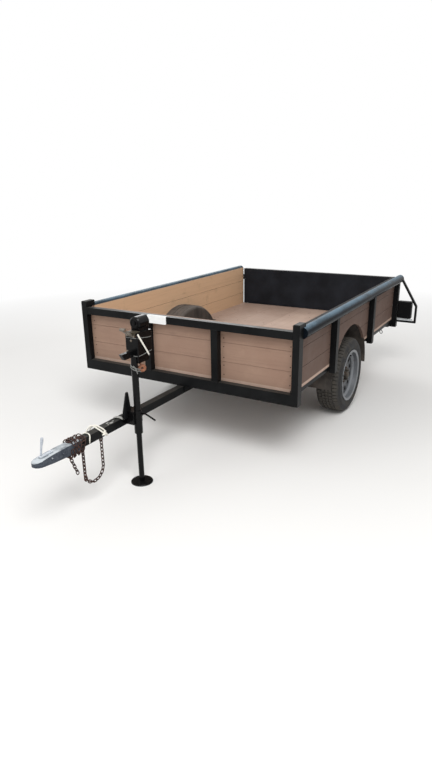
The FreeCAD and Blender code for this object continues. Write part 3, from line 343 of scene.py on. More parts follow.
    def from_axle(self, where: Socket) -> tuple[Socket, Socket]:
        """How far ahead of the axle and above it the surface is."""
        return (self.minus(self.part(where, Axis.X), AXLE_X),
                self.minus(self.part(where, Axis.Z), AXLE_Z))

    def relief(self, height: Socket, depth: float, strength: float = 1.0) -> None:
        """Roughens the shading.

        Args:
            height: The surface's height as a share of the depth.
            depth: How far the surface seems to rise where the height is 1.
            strength: The relief's strength.
        """
        node = self.add("ShaderNodeBump")
        self.give(node.inputs["Height"], height)
        self.give(node.inputs["Distance"], depth)
        self.give(node.inputs["Strength"], strength)
        self.give(self.shader.inputs["Normal"], node.outputs["Normal"])

    def surface(self, **values: Union[Value, Sequence[float]]) -> None:
        """Gives the shader its inputs.

        Args:
            **values: The inputs, named in lower case with _ for a space.
        """
        names = {name.lower().replace(" ", "_"): name for name in self.shader.inputs.keys()}
        for key, value in values.items():
            self.give(self.shader.inputs[names[key]], value)


@dataclass(frozen=True)
class SteelPaint:
    """Paint on steel, with faint runs, chips down to rust and dust on what faces up, which on the
    pipe and the frame's tops is also a painted sky highlight.
    """

    name: str
    paint: Colour
    faded: Colour
    # The dust colour and its share, dusty, also make a painted sky highlight on the pipe and the
    # frame's tops.
    dust: Colour = colour(146, 142, 134)
    rust: Colour = colour(84, 58, 44)
    gloss: float = 0.36
    dusty: float = 0.035
    chipped: float = 0.74
    grain: float = 0.0003
    shine: float = 0.10
    dust_and_sheen_facing: tuple[float, float] = (0.25, 0.95)
    streaked: float = 0.3

    def make(self) -> bpy.types.Material:
        """Makes the material.

        Returns:
            The material.
        """
        nodes = Nodes(self.name)
        where = nodes.place()
        clouds = nodes.noise(where, 5.0, 6.0)
        grit = nodes.noise(where, 160.0, 3.0)
        runs = nodes.noise(nodes.place((24.0, 24.0, 2.2)), 1.0, 5.0)
        chips = nodes.noise(where, 26.0, 9.0, 0.62)
        body = nodes.mix(nodes.span(clouds, 0.35, 0.7), self.paint, self.faded)
        # What faces up takes the dust colour: settled dust, and on the pipe and the frame's tops
        # also a painted sky highlight.
        up = nodes.span(nodes.facing(Axis.Z), *self.dust_and_sheen_facing)
        settled_dust_and_sheen = nodes.times(up, nodes.span(clouds, 0.3, 0.62, 0.35, 1.0))
        film = nodes.times(nodes.span(runs, 0.5, 0.75), self.streaked)
        dirt_and_sheen = nodes.times(nodes.plus(settled_dust_and_sheen, film), self.dusty)
        dirt_and_sheen = nodes.times(dirt_and_sheen, nodes.span(grit, 0.3, 0.7, 0.6, 1.3))
        body = nodes.mix(dirt_and_sheen, body, self.dust)
        bare = nodes.span(chips, self.chipped, self.chipped + 0.03)
        body = nodes.mix(bare, body, self.rust)
        worn = nodes.span(clouds, 0.3, 0.75, self.gloss - 0.05, self.gloss + 0.12)
        rough = nodes.plus(worn, nodes.times(nodes.plus(dirt_and_sheen, bare), 0.45))
        nodes.surface(base_color=body, roughness=rough, specular_ior_level=self.shine)
        nodes.relief(nodes.minus(nodes.times(grit, 0.35), bare), self.grain)
        return nodes.material


@dataclass(frozen=True)
class BoardPaint:
    """Weathered brown paint on planks, with the wood's grain showing through.

    The inside is a painted sunlight colour for the faces that look along an axis by a sign, and the
    top is one for the faces that look up.
    """

    name: str
    paint: Colour
    pale: Colour
    dark: Colour
    grain: Axis
    across: Axis
    seams: tuple[float, ...]
    inside: Optional[Colour] = None
    inside_axis: Axis = Axis.X
    inside_sign: float = -1.0
    scuffs: float = 0.30
    streaks: float = 0.24
    knotty: float = 0.22
    top: Optional[Colour] = None

    def along(self, grain: float, across: float) -> Triple:
        """Scale of coordinates with one number along the grain and another across it."""
        return tuple(grain if axis is self.grain else across for axis in Axis)

    def make(self) -> bpy.types.Material:
        """Makes the material.

        Returns:
            The material.
        """
        nodes = Nodes(self.name)
        where = nodes.place()
        fibres = nodes.noise(nodes.place(self.along(1.1, 34.0)), 1.6, 7.0, 0.62, 0.6)
        pores = nodes.noise(nodes.place(self.along(19.2, 204.0)), 1.0, 3.0)
        clouds = nodes.noise(where, 2.4, 5.0)
        blotch = nodes.noise(where, 9.0, 6.0, 0.6)
        plank = nodes.steps(nodes.part(where, self.across), self.seams)
        tone = nodes.chance(nodes.plus(plank, 0.37))
        body = nodes.mix(nodes.span(clouds, 0.3, 0.72, 0.0, 0.75), self.paint, self.pale)
        # Inner faces take a paler, warmer colour: painted sunlight.
        if self.inside is not None:
            inward = nodes.times(nodes.facing(self.inside_axis), self.inside_sign)
            body = nodes.mix(nodes.span(inward, 0.4, 0.9, 0.0, 0.85), body, self.inside)
        body = nodes.mix(nodes.span(tone, 0.0, 1.0, 0.0, 0.22), body, self.dark)
        body = nodes.mix(nodes.span(fibres, 0.5, 0.8, 0.0, self.streaks), body, self.dark)
        body = nodes.mix(nodes.span(blotch, 0.58, 0.8, 0.0, self.scuffs), body, self.pale)
        knots = nodes.cells(nodes.place(self.along(2.2, 8.0)), 1.0)
        body = nodes.mix(nodes.span(knots, 0.05, 0.11, self.knotty, 0.0), body, self.dark)
        if self.top is not None:
            body = nodes.mix(nodes.span(nodes.facing(Axis.Z), 0.6, 0.8), body, self.top)
        worn = nodes.plus(nodes.times(fibres, 0.8), nodes.times(pores, 0.5))
        nodes.surface(base_color=body, roughness=nodes.span(blotch, 0.3, 0.8, 0.6, 0.85),
                      specular_ior_level=0.3)
        nodes.relief(worn, 0.0010, 0.6)
        return nodes.material


@dataclass(frozen=True)
class Rubber:
    """Dusty tyre rubber, browner on the tread, with fine rings on the side wall."""

    name: str = "tyre_rubber"
    side: Colour = colour(40, 40, 41)
    tread: Colour = colour(70, 67, 63)
    mud: Colour = colour(100, 92, 80)
    tread_from: float = 0.276

    def make(self) -> bpy.types.Material:
        """Makes the material.

        Returns:
            The material.
        """
        nodes = Nodes(self.name)
        where = nodes.place()
        clouds = nodes.noise(where, 14.0, 6.0)
        grit = nodes.noise(where, 220.0, 3.0)
        out = nodes.length(*nodes.from_axle(where))
        body = nodes.mix(nodes.span(out, self.tread_from, self.tread_from + 0.02), self.side,
                         self.tread)
        body = nodes.mix(nodes.span(clouds, 0.5, 0.8, 0.0, 0.45), body, self.mud)
        rings = nodes.calc("SINE", nodes.times(out, 1800.0))
        nodes.surface(base_color=body, roughness=nodes.span(clouds, 0.3, 0.7, 0.62, 0.85),
                      specular_ior_level=0.25)
        nodes.relief(nodes.plus(nodes.times(rings, 0.18), nodes.times(grit, 0.6)), 0.0005)
        return nodes.material


@dataclass(frozen=True)
class WheelPaint:
    """Silver wheel paint, dulled by brake dust near the hub and rusting, with painted shade round
    the vents.
    """

    name: str = "wheel_silver"
    silver: Colour = colour(128, 131, 135)
    grime: Colour = colour(62, 60, 58)
    rust: Colour = colour(98, 68, 50)
    vent_shade: Colour = colour(24, 23, 23)
    vents: int = 12
    vent_circle: float = 0.133

    def from_vent(self, nodes: Nodes, ahead: Socket, above: Socket, out: Socket) -> Socket:
        """Measures the distance from the nearest vent's middle, over the disc.

        Args:
            nodes: The material's nodes.
            ahead: Distance ahead of the axle.
            above: Distance above the axle.
            out: Distance from the axle.

        Returns:
            The distance in metres.
        """
        turn = nodes.times(nodes.calc("ARCTAN2", ahead, above), self.vents / (2 * math.pi))
        off = nodes.minus(nodes.calc("FRACT", nodes.plus(turn, self.vents)), 0.5)
        along = nodes.times(off, 2 * math.pi * self.vent_circle / self.vents)
        return nodes.length(along, nodes.minus(out, self.vent_circle))

    def make(self) -> bpy.types.Material:
        """Makes the material.

        Returns:
            The material.
        """
        nodes = Nodes(self.name)
        where = nodes.place()
        clouds = nodes.noise(where, 22.0, 6.0, 0.6)
        spots = nodes.noise(where, 70.0, 5.0, 0.6)
        ahead, above = nodes.from_axle(where)
        out = nodes.length(ahead, above)
        near = nodes.times(nodes.span(out, 0.10, 0.186, 0.95, 0.06),
                           nodes.span(clouds, 0.3, 0.65, 0.4, 1.0))
        body = nodes.mix(near, self.silver, self.grime)
        # Painted shade round each vent, which makes the vents look wider and dark.
        vent = self.from_vent(nodes, ahead, above, out)
        body = nodes.mix(nodes.span(vent, 0.016, 0.027, 0.9, 0.0), body, self.vent_shade)
        spotted = nodes.span(spots, 0.64, 0.70, 0.0, 0.8)
        body = nodes.mix(spotted, body, self.rust)
        rough = nodes.plus(nodes.span(clouds, 0.3, 0.7, 0.30, 0.46), nodes.times(spotted, 0.3))
        nodes.surface(base_color=body, metallic=0.45, roughness=rough, specular_ior_level=0.3)
        nodes.relief(spots, 0.0003)
        return nodes.material


@dataclass(frozen=True)
class BareSteel:
    """Zinc-coated or bare steel with a crystal pattern, rust spots and a pale bloom, which on the
    coupler's top is also a painted sky highlight.
    """

    name: str
    steel: Colour
    bloom_and_sheen: Colour
    rust: Colour = colour(120, 76, 48)
    rusty: float = 0.68
    metallic: float = 0.4
    rough: float = 0.42
    side_bloom_and_sheen: float = 0.25
    spangled: float = 0.45
    shine: float = 0.35

    def make(self) -> bpy.types.Material:
        """Makes the material.

        Returns:
            The material.
        """
        nodes = Nodes(self.name)
        where = nodes.place()
        spangle = nodes.cells(where, 95.0)
        clouds = nodes.noise(where, 12.0, 6.0, 0.6)
        spots = nodes.noise(where, 48.0, 8.0, 0.62)
        body = nodes.mix(nodes.span(spangle, 0.1, 0.8, 0.0, self.spangled), self.steel, self.bloom_and_sheen)
        # What faces up turns pale: bloom, and on the coupler also a painted sky highlight over
        # darker sides.
        up = nodes.span(nodes.facing(Axis.Z), 0.3, 0.9, self.side_bloom_and_sheen, 0.95)
        body = nodes.mix(nodes.times(up, nodes.span(clouds, 0.30, 0.56)), body, self.bloom_and_sheen)
        rusted = nodes.span(spots, self.rusty, self.rusty + 0.06)
        body = nodes.mix(rusted, body, self.rust)
        rough = nodes.plus(nodes.span(clouds, 0.3, 0.7, self.rough, self.rough + 0.2),
                           nodes.times(rusted, 0.25))
        nodes.surface(base_color=body, metallic=self.metallic, roughness=rough,
                      specular_ior_level=self.shine)
        nodes.relief(nodes.minus(spots, rusted), 0.0004)
        return nodes.material


@dataclass(frozen=True)
class Rust:
    """Rusted steel with darker scale and a few pale worn places."""

    name: str = "chain_rust"
    light: Colour = colour(86, 62, 55)
    dark: Colour = colour(38, 30, 30)
    worn: Colour = colour(102, 92, 88)

    def make(self) -> bpy.types.Material:
        """Makes the material.

        Returns:
            The material.
        """
        nodes = Nodes(self.name)
        where = nodes.place()
        clouds = nodes.noise(where, 60.0, 7.0, 0.62)
        scale = nodes.noise(where, 260.0, 4.0)
        body = nodes.mix(nodes.span(clouds, 0.35, 0.65), self.dark, self.light)
        body = nodes.mix(nodes.span(scale, 0.66, 0.76, 0.0, 0.6), body, self.worn)
        nodes.surface(base_color=body, metallic=0.15, specular_ior_level=0.25,
                      roughness=nodes.span(scale, 0.3, 0.7, 0.6, 0.9))
        nodes.relief(nodes.plus(clouds, nodes.times(scale, 0.4)), 0.0006)
        return nodes.material


@dataclass(frozen=True)
class Plastic:
    """Moulded plastic or cord with a fine texture, dusty on top."""

    name: str
    tint: Colour
    dust: Colour = colour(160, 150, 134)
    rough: float = 0.45
    dusty: float = 0.3
    shine: float = 0.3

    def make(self) -> bpy.types.Material:
        """Makes the material.

        Returns:
            The material.
        """
        nodes = Nodes(self.name)
        where = nodes.place()
        clouds = nodes.noise(where, 30.0, 5.0)
        grit = nodes.noise(where, 420.0, 2.0)
        up = nodes.span(nodes.facing(Axis.Z), 0.2, 0.9, 0.3, 1.0)
        dirt_and_sheen = nodes.times(nodes.times(up, nodes.span(clouds, 0.35, 0.7)), self.dusty)
        rough = nodes.span(clouds, 0.3, 0.7, self.rough, self.rough + 0.15)
        nodes.surface(base_color=nodes.mix(dirt_and_sheen, self.tint, self.dust), roughness=rough,
                      specular_ior_level=self.shine)
        nodes.relief(grit, 0.0002)
        return nodes.material


@dataclass(frozen=True)
class Lens:
    """Moulded lens with fine upright ribs under a clear coat."""

    name: str
    tint: Colour
    edge: Colour
    ribs: float = 900.0

    def make(self) -> bpy.types.Material:
        """Makes the material.

        Returns:
            The material.
        """
        nodes = Nodes(self.name)
        where = nodes.place()
        wave = nodes.calc("SINE", nodes.times(nodes.part(where, Axis.Y), self.ribs))
        body = nodes.mix(nodes.span(wave, -1.0, 1.0, 0.0, 0.5), self.tint, self.edge)
        film = nodes.span(nodes.noise(where, 40.0, 5.0), 0.4, 0.7, 0.16, 0.32)
        nodes.surface(base_color=body, roughness=film, coat_weight=0.6)
        nodes.relief(wave, 0.0004)
        return nodes.material


class Finishes:
    """Every material of the trailer, made once."""

    def __init__(self) -> None:
        """Makes the materials."""
        self.paints()
        self.boards()
        self.metals()
        self.plastics()

    def paints(self) -> None:
        """Makes the paints on steel."""
        # The frame's paler tops are dust and a painted highlight.
        self.frame = SteelPaint("frame_black", colour(10, 11, 12), colour(21, 22, 23), dusty=0.13,
                                streaked=0.05, dust_and_sheen_facing=(0.6, 1.0)).make()
        self.under = SteelPaint("underside_black", colour(19, 18, 18), colour(38, 35, 32),
                                gloss=0.55, dusty=0.12, chipped=0.64).make()
        # The pipe's pale blue-grey on what faces up is mostly a painted sky reflection, with a
        # little dust.
        self.pipe = SteelPaint("pipe_gloss", colour(9, 12, 15), colour(20, 27, 35),
                               dust=colour(150, 182, 204), gloss=0.16, dusty=0.40, chipped=0.8,
                               grain=0.0001, shine=0.03, streaked=0.02,
                               dust_and_sheen_facing=(0.45, 1.0)).make()
        self.sheet = SteelPaint("tailgate_sheet", colour(24, 26, 30), colour(36, 39, 45),
                                dust=colour(112, 116, 124), dusty=0.05, chipped=0.8, gloss=0.42,
                                streaked=0.1).make()
        self.well = SteelPaint("wheel_box", colour(46, 44, 43), colour(84, 78, 73),
                               dust=colour(138, 128, 120), rust=colour(78, 64, 56), gloss=0.5,
                               dusty=0.40, chipped=0.68).make()
        self.jack = SteelPaint("jack_black", colour(5, 5, 6), colour(15, 15, 16), gloss=0.16,
                               dusty=0.02, shine=0.14).make()
        self.olive = SteelPaint("olive_bracket", colour(46, 42, 34), colour(72, 65, 52),
                                dusty=0.08, chipped=0.62).make()
        self.wheel = WheelPaint().make()

    def boards(self) -> None:
        """Makes the paints on boards, with painted sunlight on their inner faces and painted shade
        on the sides' outer faces.
        """
        painted_sunlight, deep, edge = colour(238, 199, 160), colour(98, 76, 66), colour(22, 22, 22)
        # The sides take darker copies of the front's paint: painted shade on their outer faces.
        painted_shade_sides = (colour(90, 72, 64), colour(110, 90, 80), deep, Axis.X, Axis.Z, WALL_SEAMS)
        self.front_board = BoardPaint("front_board", colour(150, 121, 104), colour(172, 144, 124),
                                      deep, Axis.Y, Axis.Z, WALL_SEAMS, inside=painted_sunlight).make()
        self.left_board = BoardPaint("left_board", *painted_shade_sides, inside=painted_sunlight, inside_axis=Axis.Y,
                                     top=edge).make()
        self.right_board = BoardPaint("right_board", *painted_shade_sides, inside=painted_sunlight, inside_axis=Axis.Y,
                                      inside_sign=1.0, top=edge).make()
        self.floor_board = BoardPaint("floor_board", colour(170, 145, 130), colour(198, 174, 158),
                                      deep, Axis.X, Axis.Y, FLOOR_SEAMS, scuffs=0.5).make()

    def metals(self) -> None:
        """Makes the bare, coated and rusted metals."""
        self.hub = BareSteel("hub_steel", colour(58, 55, 51), colour(92, 86, 79),
                             rust=colour(90, 64, 49), rusty=0.56, rough=0.5).make()
        self.spring = BareSteel("spring_steel", colour(56, 53, 51), colour(88, 81, 74),
                                rust=colour(92, 64, 48), rusty=0.54, rough=0.55).make()
        # The coupler's pale top over slate-blue sides is a painted sky highlight, with some white
        # bloom.
        self.galvanised = BareSteel("galvanised", colour(40, 47, 60), colour(196, 202, 206),
                                    rusty=0.70, metallic=0.05, side_bloom_and_sheen=0.04, spangled=0.06,
                                    shine=0.14).make()
        self.zinc = BareSteel("latch_zinc", colour(150, 158, 170), colour(206, 211, 216),
                              rusty=0.74).make()
        self.bright = BareSteel("bright_steel", colour(92, 87, 80), colour(140, 133, 123),
                                rust=colour(98, 72, 54), rusty=0.56, rough=0.5).make()
        self.rust = Rust().make()
        self.orange_rust = Rust("orange_rust", colour(160, 108, 82), colour(98, 64, 50),
                                colour(182, 146, 124)).make()

    def plastics(self) -> None:
        """Makes the rubber, the lamp's plastics, the cords and the tag."""
        self.rubber = Rubber().make()
        self.lamp = Plastic("lamp_black", colour(8, 8, 10), dusty=0.015, shine=0.12).make()
        self.red = Lens("lens_red", colour(112, 10, 10), colour(150, 24, 20)).make()
        self.clear = Lens("lens_clear", colour(196, 200, 202), colour(226, 230, 232)).make()
        self.white_tie = Plastic("cream_strap", colour(232, 229, 219), colour(176, 168, 150),
                                 rough=0.5, dusty=0.15).make()
        self.dark_tie = Plastic("grey_cord", colour(112, 114, 112)).make()
        self.pale_tie = Plastic("pale_rag", colour(158, 158, 154), colour(120, 116, 108)).make()
        self.tag = Plastic("tag_white", colour(226, 227, 226), colour(168, 164, 156), rough=0.6,
                           dusty=0.2).make()


# Modelling


def deselect() -> None:
    """Leaves edit mode and deselects every object."""
    if bpy.context.object is not None and bpy.context.object.mode != "OBJECT":
        bpy.ops.object.mode_set(mode="OBJECT")
    bpy.ops.object.select_all(action="DESELECT")


def only(piece: Piece) -> None:
    """Makes one object the only selected one and the active one.

    Args:
        piece: The object.
    """
    deselect()
    piece.select_set(True)
    bpy.context.view_layer.objects.active = piece


def named(piece: Piece, name: str) -> Piece:
    """Names a piece and its mesh.

    Args:
        piece: The piece.
        name: Its name.

    Returns:
        The piece.
    """
    piece.name = name
    piece.data.name = name
    return piece


def settle(name: str) -> Piece:
    """Names the primitive just added and puts its place and size into its mesh.

    Args:
        name: The piece's name.

    Returns:
        The piece.
    """
    piece = bpy.context.object
    only(piece)
    bpy.ops.object.transform_apply(location=True, rotation=True, scale=True)
    return named(piece, name)


@contextmanager
def editing(piece: Piece) -> Iterator[None]:
    """Edit mode on one piece, with nothing in it selected at first.

    Args:
        piece: The piece.

    Yields:
        Nothing. Object mode comes back after the block.
    """
    only(piece)
    bpy.ops.object.mode_set(mode="EDIT")
    bpy.ops.mesh.select_all(action="DESELECT")
    yield
    bpy.ops.object.mode_set(mode="OBJECT")


def pick_all() -> None:
    """Selects everything in the piece being edited."""
    bpy.ops.mesh.select_all(action="SELECT")


def pick_faces(piece: Piece, test: Callable[[Vector, Vector], bool]) -> None:
    """Selects only the faces that pass a test, in edit mode.

    Args:
        piece: The piece being edited.
        test: What a face's middle and normal have to pass.
    """
    bpy.ops.mesh.select_mode(type="FACE")
    bpy.ops.mesh.select_all(action="DESELECT")
    mesh = bmesh.from_edit_mesh(piece.data)
    for face in mesh.faces:
        face.select_set(test(face.calc_center_median(), face.normal))
    bmesh.update_edit_mesh(piece.data)


def pick_side(piece: Piece, axis: Axis, sign: int = 1, least: float = 0.9) -> None:
    """Selects only the faces that look along an axis, or against it with the sign -1."""
    pick_faces(piece, lambda centre, normal: sign * normal[axis.value] > least)


def pick_points(piece: Piece, test: Callable[[Vector], bool]) -> None:
    """Selects only the vertices that pass a test, in edit mode.

    Args:
        piece: The piece being edited.
        test: What a vertex's place has to pass.
    """
    bpy.ops.mesh.select_mode(type="VERT")
    bpy.ops.mesh.select_all(action="DESELECT")
    mesh = bmesh.from_edit_mesh(piece.data)
    for point in mesh.verts:
        point.select_set(test(point.co))
    mesh.select_flush(True)
    bmesh.update_edit_mesh(piece.data)


def extrude(x: float, y: float, z: float) -> None:
    """Extrudes what is selected by a step along each axis."""
    bpy.ops.mesh.extrude_region_move(TRANSFORM_OT_translate={"value": (x, y, z)})


def inset(thickness: float) -> None:
    """Insets the selected faces together, by the width of the rim left round them."""
    bpy.ops.mesh.inset(thickness=thickness)


def bevel(offset: float) -> None:
    """Rounds the selected edges."""
    bpy.ops.mesh.bevel(offset=offset, segments=2, affect="EDGES")


def shift(x: float, y: float, z: float) -> None:
    """Moves what is selected by a step along each axis."""
    bpy.ops.transform.translate(value=(x, y, z))


def stretch(factors: Triple, middle: Sequence[float]) -> None:
    """Resizes what is selected along each axis about a place."""
    bpy.ops.transform.resize(value=factors, center_override=middle)


def roughen(amount: float, seed: int) -> None:
    """Shifts each selected vertex at random."""
    bpy.ops.transform.vertex_random(offset=amount, uniform=0.0, normal=0.0, seed=seed)


def modify(piece: Piece, kind: str, **settings: Union[float, int, str, bool]) -> None:
    """Adds a modifier and applies it.

    Args:
        piece: The piece.
        kind: The modifier's type.
        **settings: The modifier's settings.
    """
    only(piece)
    modifier = piece.modifiers.new(kind.lower(), kind)
    for key, value in settings.items():
        setattr(modifier, key, value)
    bpy.ops.object.modifier_apply(modifier=modifier.name)


def soften(piece: Piece) -> None:
    """Divides and rounds every face of a piece once."""
    modify(piece, "SUBSURF", levels=1, render_levels=1)


def round_corners(piece: Piece, width: float, segments: int, degrees: float) -> None:
    """Bevels the edges of a piece that are sharper than an angle."""
    modify(piece, "BEVEL", width=width, segments=segments, limit_method="ANGLE",
           angle_limit=math.radians(degrees))


def smooth(piece: Piece, degrees: float) -> None:
    """Shades a piece smooth but for edges sharper than an angle."""
    only(piece)
    bpy.ops.object.shade_smooth_by_angle(angle=math.radians(degrees))


def face_out() -> None:
    """Turns every face of the piece being edited outwards."""
    pick_all()
    bpy.ops.mesh.normals_make_consistent(inside=False)


def copied(source: Piece, matrix: Matrix) -> Piece:
    """Copies a piece with a mesh of its own.

    Args:
        source: The piece to copy.
        matrix: Where the copy goes.

    Returns:
        The copy, with its place in its mesh.
    """
    only(source)
    bpy.ops.object.duplicate(linked=False)
    piece = bpy.context.object
    piece.matrix_world = matrix
    bpy.ops.object.transform_apply(location=True, rotation=True, scale=True)
    return piece


def joined(pieces: Sequence[Piece], name: str) -> Piece:
    """Joins several pieces.

    Args:
        pieces: The pieces.
        name: The name of what they become.

    Returns:
        The one piece.
    """
    deselect()
    for piece in pieces:
        piece.select_set(True)
    bpy.context.view_layer.objects.active = pieces[0]
    if len(pieces) > 1:
        bpy.ops.object.join()
    return named(bpy.context.object, name)


def removed(piece: Piece) -> None:
    """Takes a pattern piece away once its copies are made."""
    bpy.data.objects.remove(piece, do_unlink=True)


def dressed(piece: Piece, material: bpy.types.Material, body: str,
            degrees: float = PLATE_EDGES) -> Piece:
    """Gives a finished piece its material, shading and body, and reports it.

    Args:
        piece: The piece, in its place.
        material: Its finish.
        body: The CAD body it rides on.
        degrees: Edges sharper than this stay sharp.

    Returns:
        The piece.
    """
    smooth(piece, degrees)
    piece.data.materials.clear()
    piece.data.materials.append(material)
    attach(piece, body)
    log.info("%s rides on %s, %d faces", piece.name, body, len(piece.data.polygons))
    return piece


def block(name: str, low: Triple, high: Triple, edge: float) -> Piece:
    """Box between two corners with its edges rounded.

    Args:
        name: The piece's name.
        low: Lowest corner.
        high: Highest corner.
        edge: Radius of its edges.

    Returns:
        The piece.
    """
    middle = [(a + b) / 2 for a, b in zip(low, high)]
    size = [b - a for a, b in zip(low, high)]
    bpy.ops.mesh.primitive_cube_add(size=1.0, location=middle, scale=size)
    piece = settle(name)
    modify(piece, "BEVEL", width=edge, segments=2)
    return piece


def frame_of(ahead: Vector, side: Vector, place: Vector) -> Matrix:
    """Works out how to lay a piece.

    Args:
        ahead: The direction its x goes to.
        side: The direction its y goes to.
        place: Where its origin goes.

    Returns:
        The matrix that lays it so.
    """
    third = ahead.cross(side)
    matrix = Matrix((ahead, side, third)).transposed().to_4x4()
    matrix.translation = place
    return matrix


def swept(name: str, places: Sequence[Triple], radius: float, sides: int = 8) -> Piece:
    """Round bar bent through a row of places, extruded from each to the next.

    Args:
        name: The piece's name.
        places: The bar's middle line.
        radius: Radius of the bar.
        sides: Number of flats round it.

    Returns:
        The piece.
    """
    path = [Vector(place) for place in places]
    runs = [(end - start).normalized() for start, end in zip(path, path[1:])]
    facings = [runs[0]] + [(a + b).normalized() for a, b in zip(runs, runs[1:])] + [runs[-1]]
    turn = facings[0].to_track_quat("Z", "X").to_euler()
    bpy.ops.mesh.primitive_circle_add(vertices=sides, radius=radius, fill_type="NGON",
                                      location=path[0], rotation=turn)
    piece = settle(name)
    with editing(piece):
        pick_faces(piece, lambda centre, normal: True)
        for index in range(1, len(path)):
            extrude(*(path[index] - path[index - 1]))
            mesh = bmesh.from_edit_mesh(piece.data)
            swing = facings[index - 1].rotation_difference(facings[index]).to_matrix()
            bmesh.ops.rotate(mesh, cent=path[index], matrix=swing,
                             verts=[point for point in mesh.verts if point.select])
            bmesh.update_edit_mesh(piece.data)
        face_out()
    return piece


def ringed(name: str, middle: Triple, major: float, minor: float, tilt: Triple) -> Piece:
    """Round ring, a little uneven, as if bent by hand.

    Args:
        name: The piece's name.
        middle: Its middle.
        major: Radius of its middle line.
        minor: Radius of its bar.
        tilt: Turn about each axis, in degrees.

    Returns:
        The piece.
    """
    bpy.ops.mesh.primitive_torus_add(major_radius=major, minor_radius=minor, major_segments=28,
                                     minor_segments=8, location=middle,
                                     rotation=tuple(math.radians(angle) for angle in tilt))
    piece = settle(name)
    with editing(piece):
        pick_all()
        roughen(minor * 0.14, 6)
    return piece


def lump(name: str, middle: Triple, radius: float, factors: Triple, rough: float, seed: int
         ) -> Piece:
    """Uneven ball, pressed out of round.

    Args:
        name: The piece's name.
        middle: Its middle.
        radius: Radius of the ball.
        factors: How far it is stretched along each axis.
        rough: How far its vertices are shifted.
        seed: Seed of their shifts.

    Returns:
        The piece.
    """
    bpy.ops.mesh.primitive_ico_sphere_add(subdivisions=3, radius=radius, location=middle)
    piece = settle(name)
    with editing(piece):
        pick_all()
        stretch(factors, middle)
        roughen(rough, seed)
    return piece


def bolt_head(name: str, place: Triple, facing: Axis, radius: float, rise: float) -> Piece:
    """Six-sided bolt head on a washer, with its rim turned down.

    Args:
        name: The piece's name.
        place: Middle of the washer's underside.
        facing: The direction it stands up in.
        radius: Radius of the head over its corners.
        rise: Height of the head.

    Returns:
        The piece.
    """
    out = Vector([1.0 if index == facing.value else 0.0 for index in range(3)])
    bpy.ops.mesh.primitive_cylinder_add(vertices=18, radius=radius * WASHER_SHARE,
                                        depth=WASHER_THICK, rotation=STANDING[facing],
                                        location=Vector(place) + out * WASHER_THICK / 2)
    washer = settle("washer")
    bpy.ops.mesh.primitive_cylinder_add(vertices=6, radius=radius, depth=rise,
                                        location=Vector(place) + out * (WASHER_THICK + rise / 2),
                                        rotation=STANDING[facing])
    head = settle("head")
    with editing(head):
        pick_side(head, facing)
        bevel(radius * 0.12)
    return joined([washer, head], name)


# Sub-assemblies


@dataclass
class PaintedSolids:
    """Finishes of the solids whose own shape is right."""

    finishes: Finishes

    def choice(self) -> dict[str, bpy.types.Material]:
        """Lists each solid's finish.

        Returns:
            The material by the solid's name.
        """
        look = self.finishes
        groups = (
            (look.under, "main_rails cross_members outriggers axle_beam spring_hangers"),
            (look.frame, "front_sill rear_sill side_sill_left side_sill_right front_posts "
                         "front_rail front_corner_posts rear_corner_posts side_posts_left "
                         "side_posts_right tailgate_frame tailgate_leaves tailgate_catches "
                         "hinge_knuckles lamp_guards tongue_beam tongue_saddle"),
            (look.pipe, "side_pipe_left side_pipe_right"),
            (look.front_board, "front_planks"),
            (look.left_board, "side_boards_left"),
            (look.right_board, "side_boards_right"),
            (look.floor_board, "floor_boards"),
            (look.well, "wheel_well_left wheel_well_right"),
            (look.spring, "axle_clamps leaf_springs"),
            (look.hub, "hub_left hub_right"),
            (look.wheel, "rim_left rim_right"),
            (look.rubber, "tyre_left tyre_right"),
            (look.sheet, "tailgate_sheet"),
            (look.bright, "tailgate_pins jack_crank"),
            (look.lamp, "tail_lamps"),
            (look.red, "tail_lenses"),
            (look.clear, "lamp_windows"),
            (look.galvanised, "coupler"),
            (look.zinc, "coupler_latch"),
            (look.rust, "chain_lugs safety_chains"),
            (look.jack, "jack_mount jack_tube jack_head jack_leg jack_foot"),
        )
        return {name: material for material, names in groups for name in names.split()}

    def build(self) -> None:
        """Puts a finish in each solid's material slot."""
        choice = self.choice()
        missing = set(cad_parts) - set(choice)
        if missing:
            raise ValueError(f"no finish for {sorted(missing)}")
        for name, material in choice.items():
            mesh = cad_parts[name].data
            mesh.materials.clear()
            mesh.materials.append(material)
        log.info("%d solids dressed", len(choice))


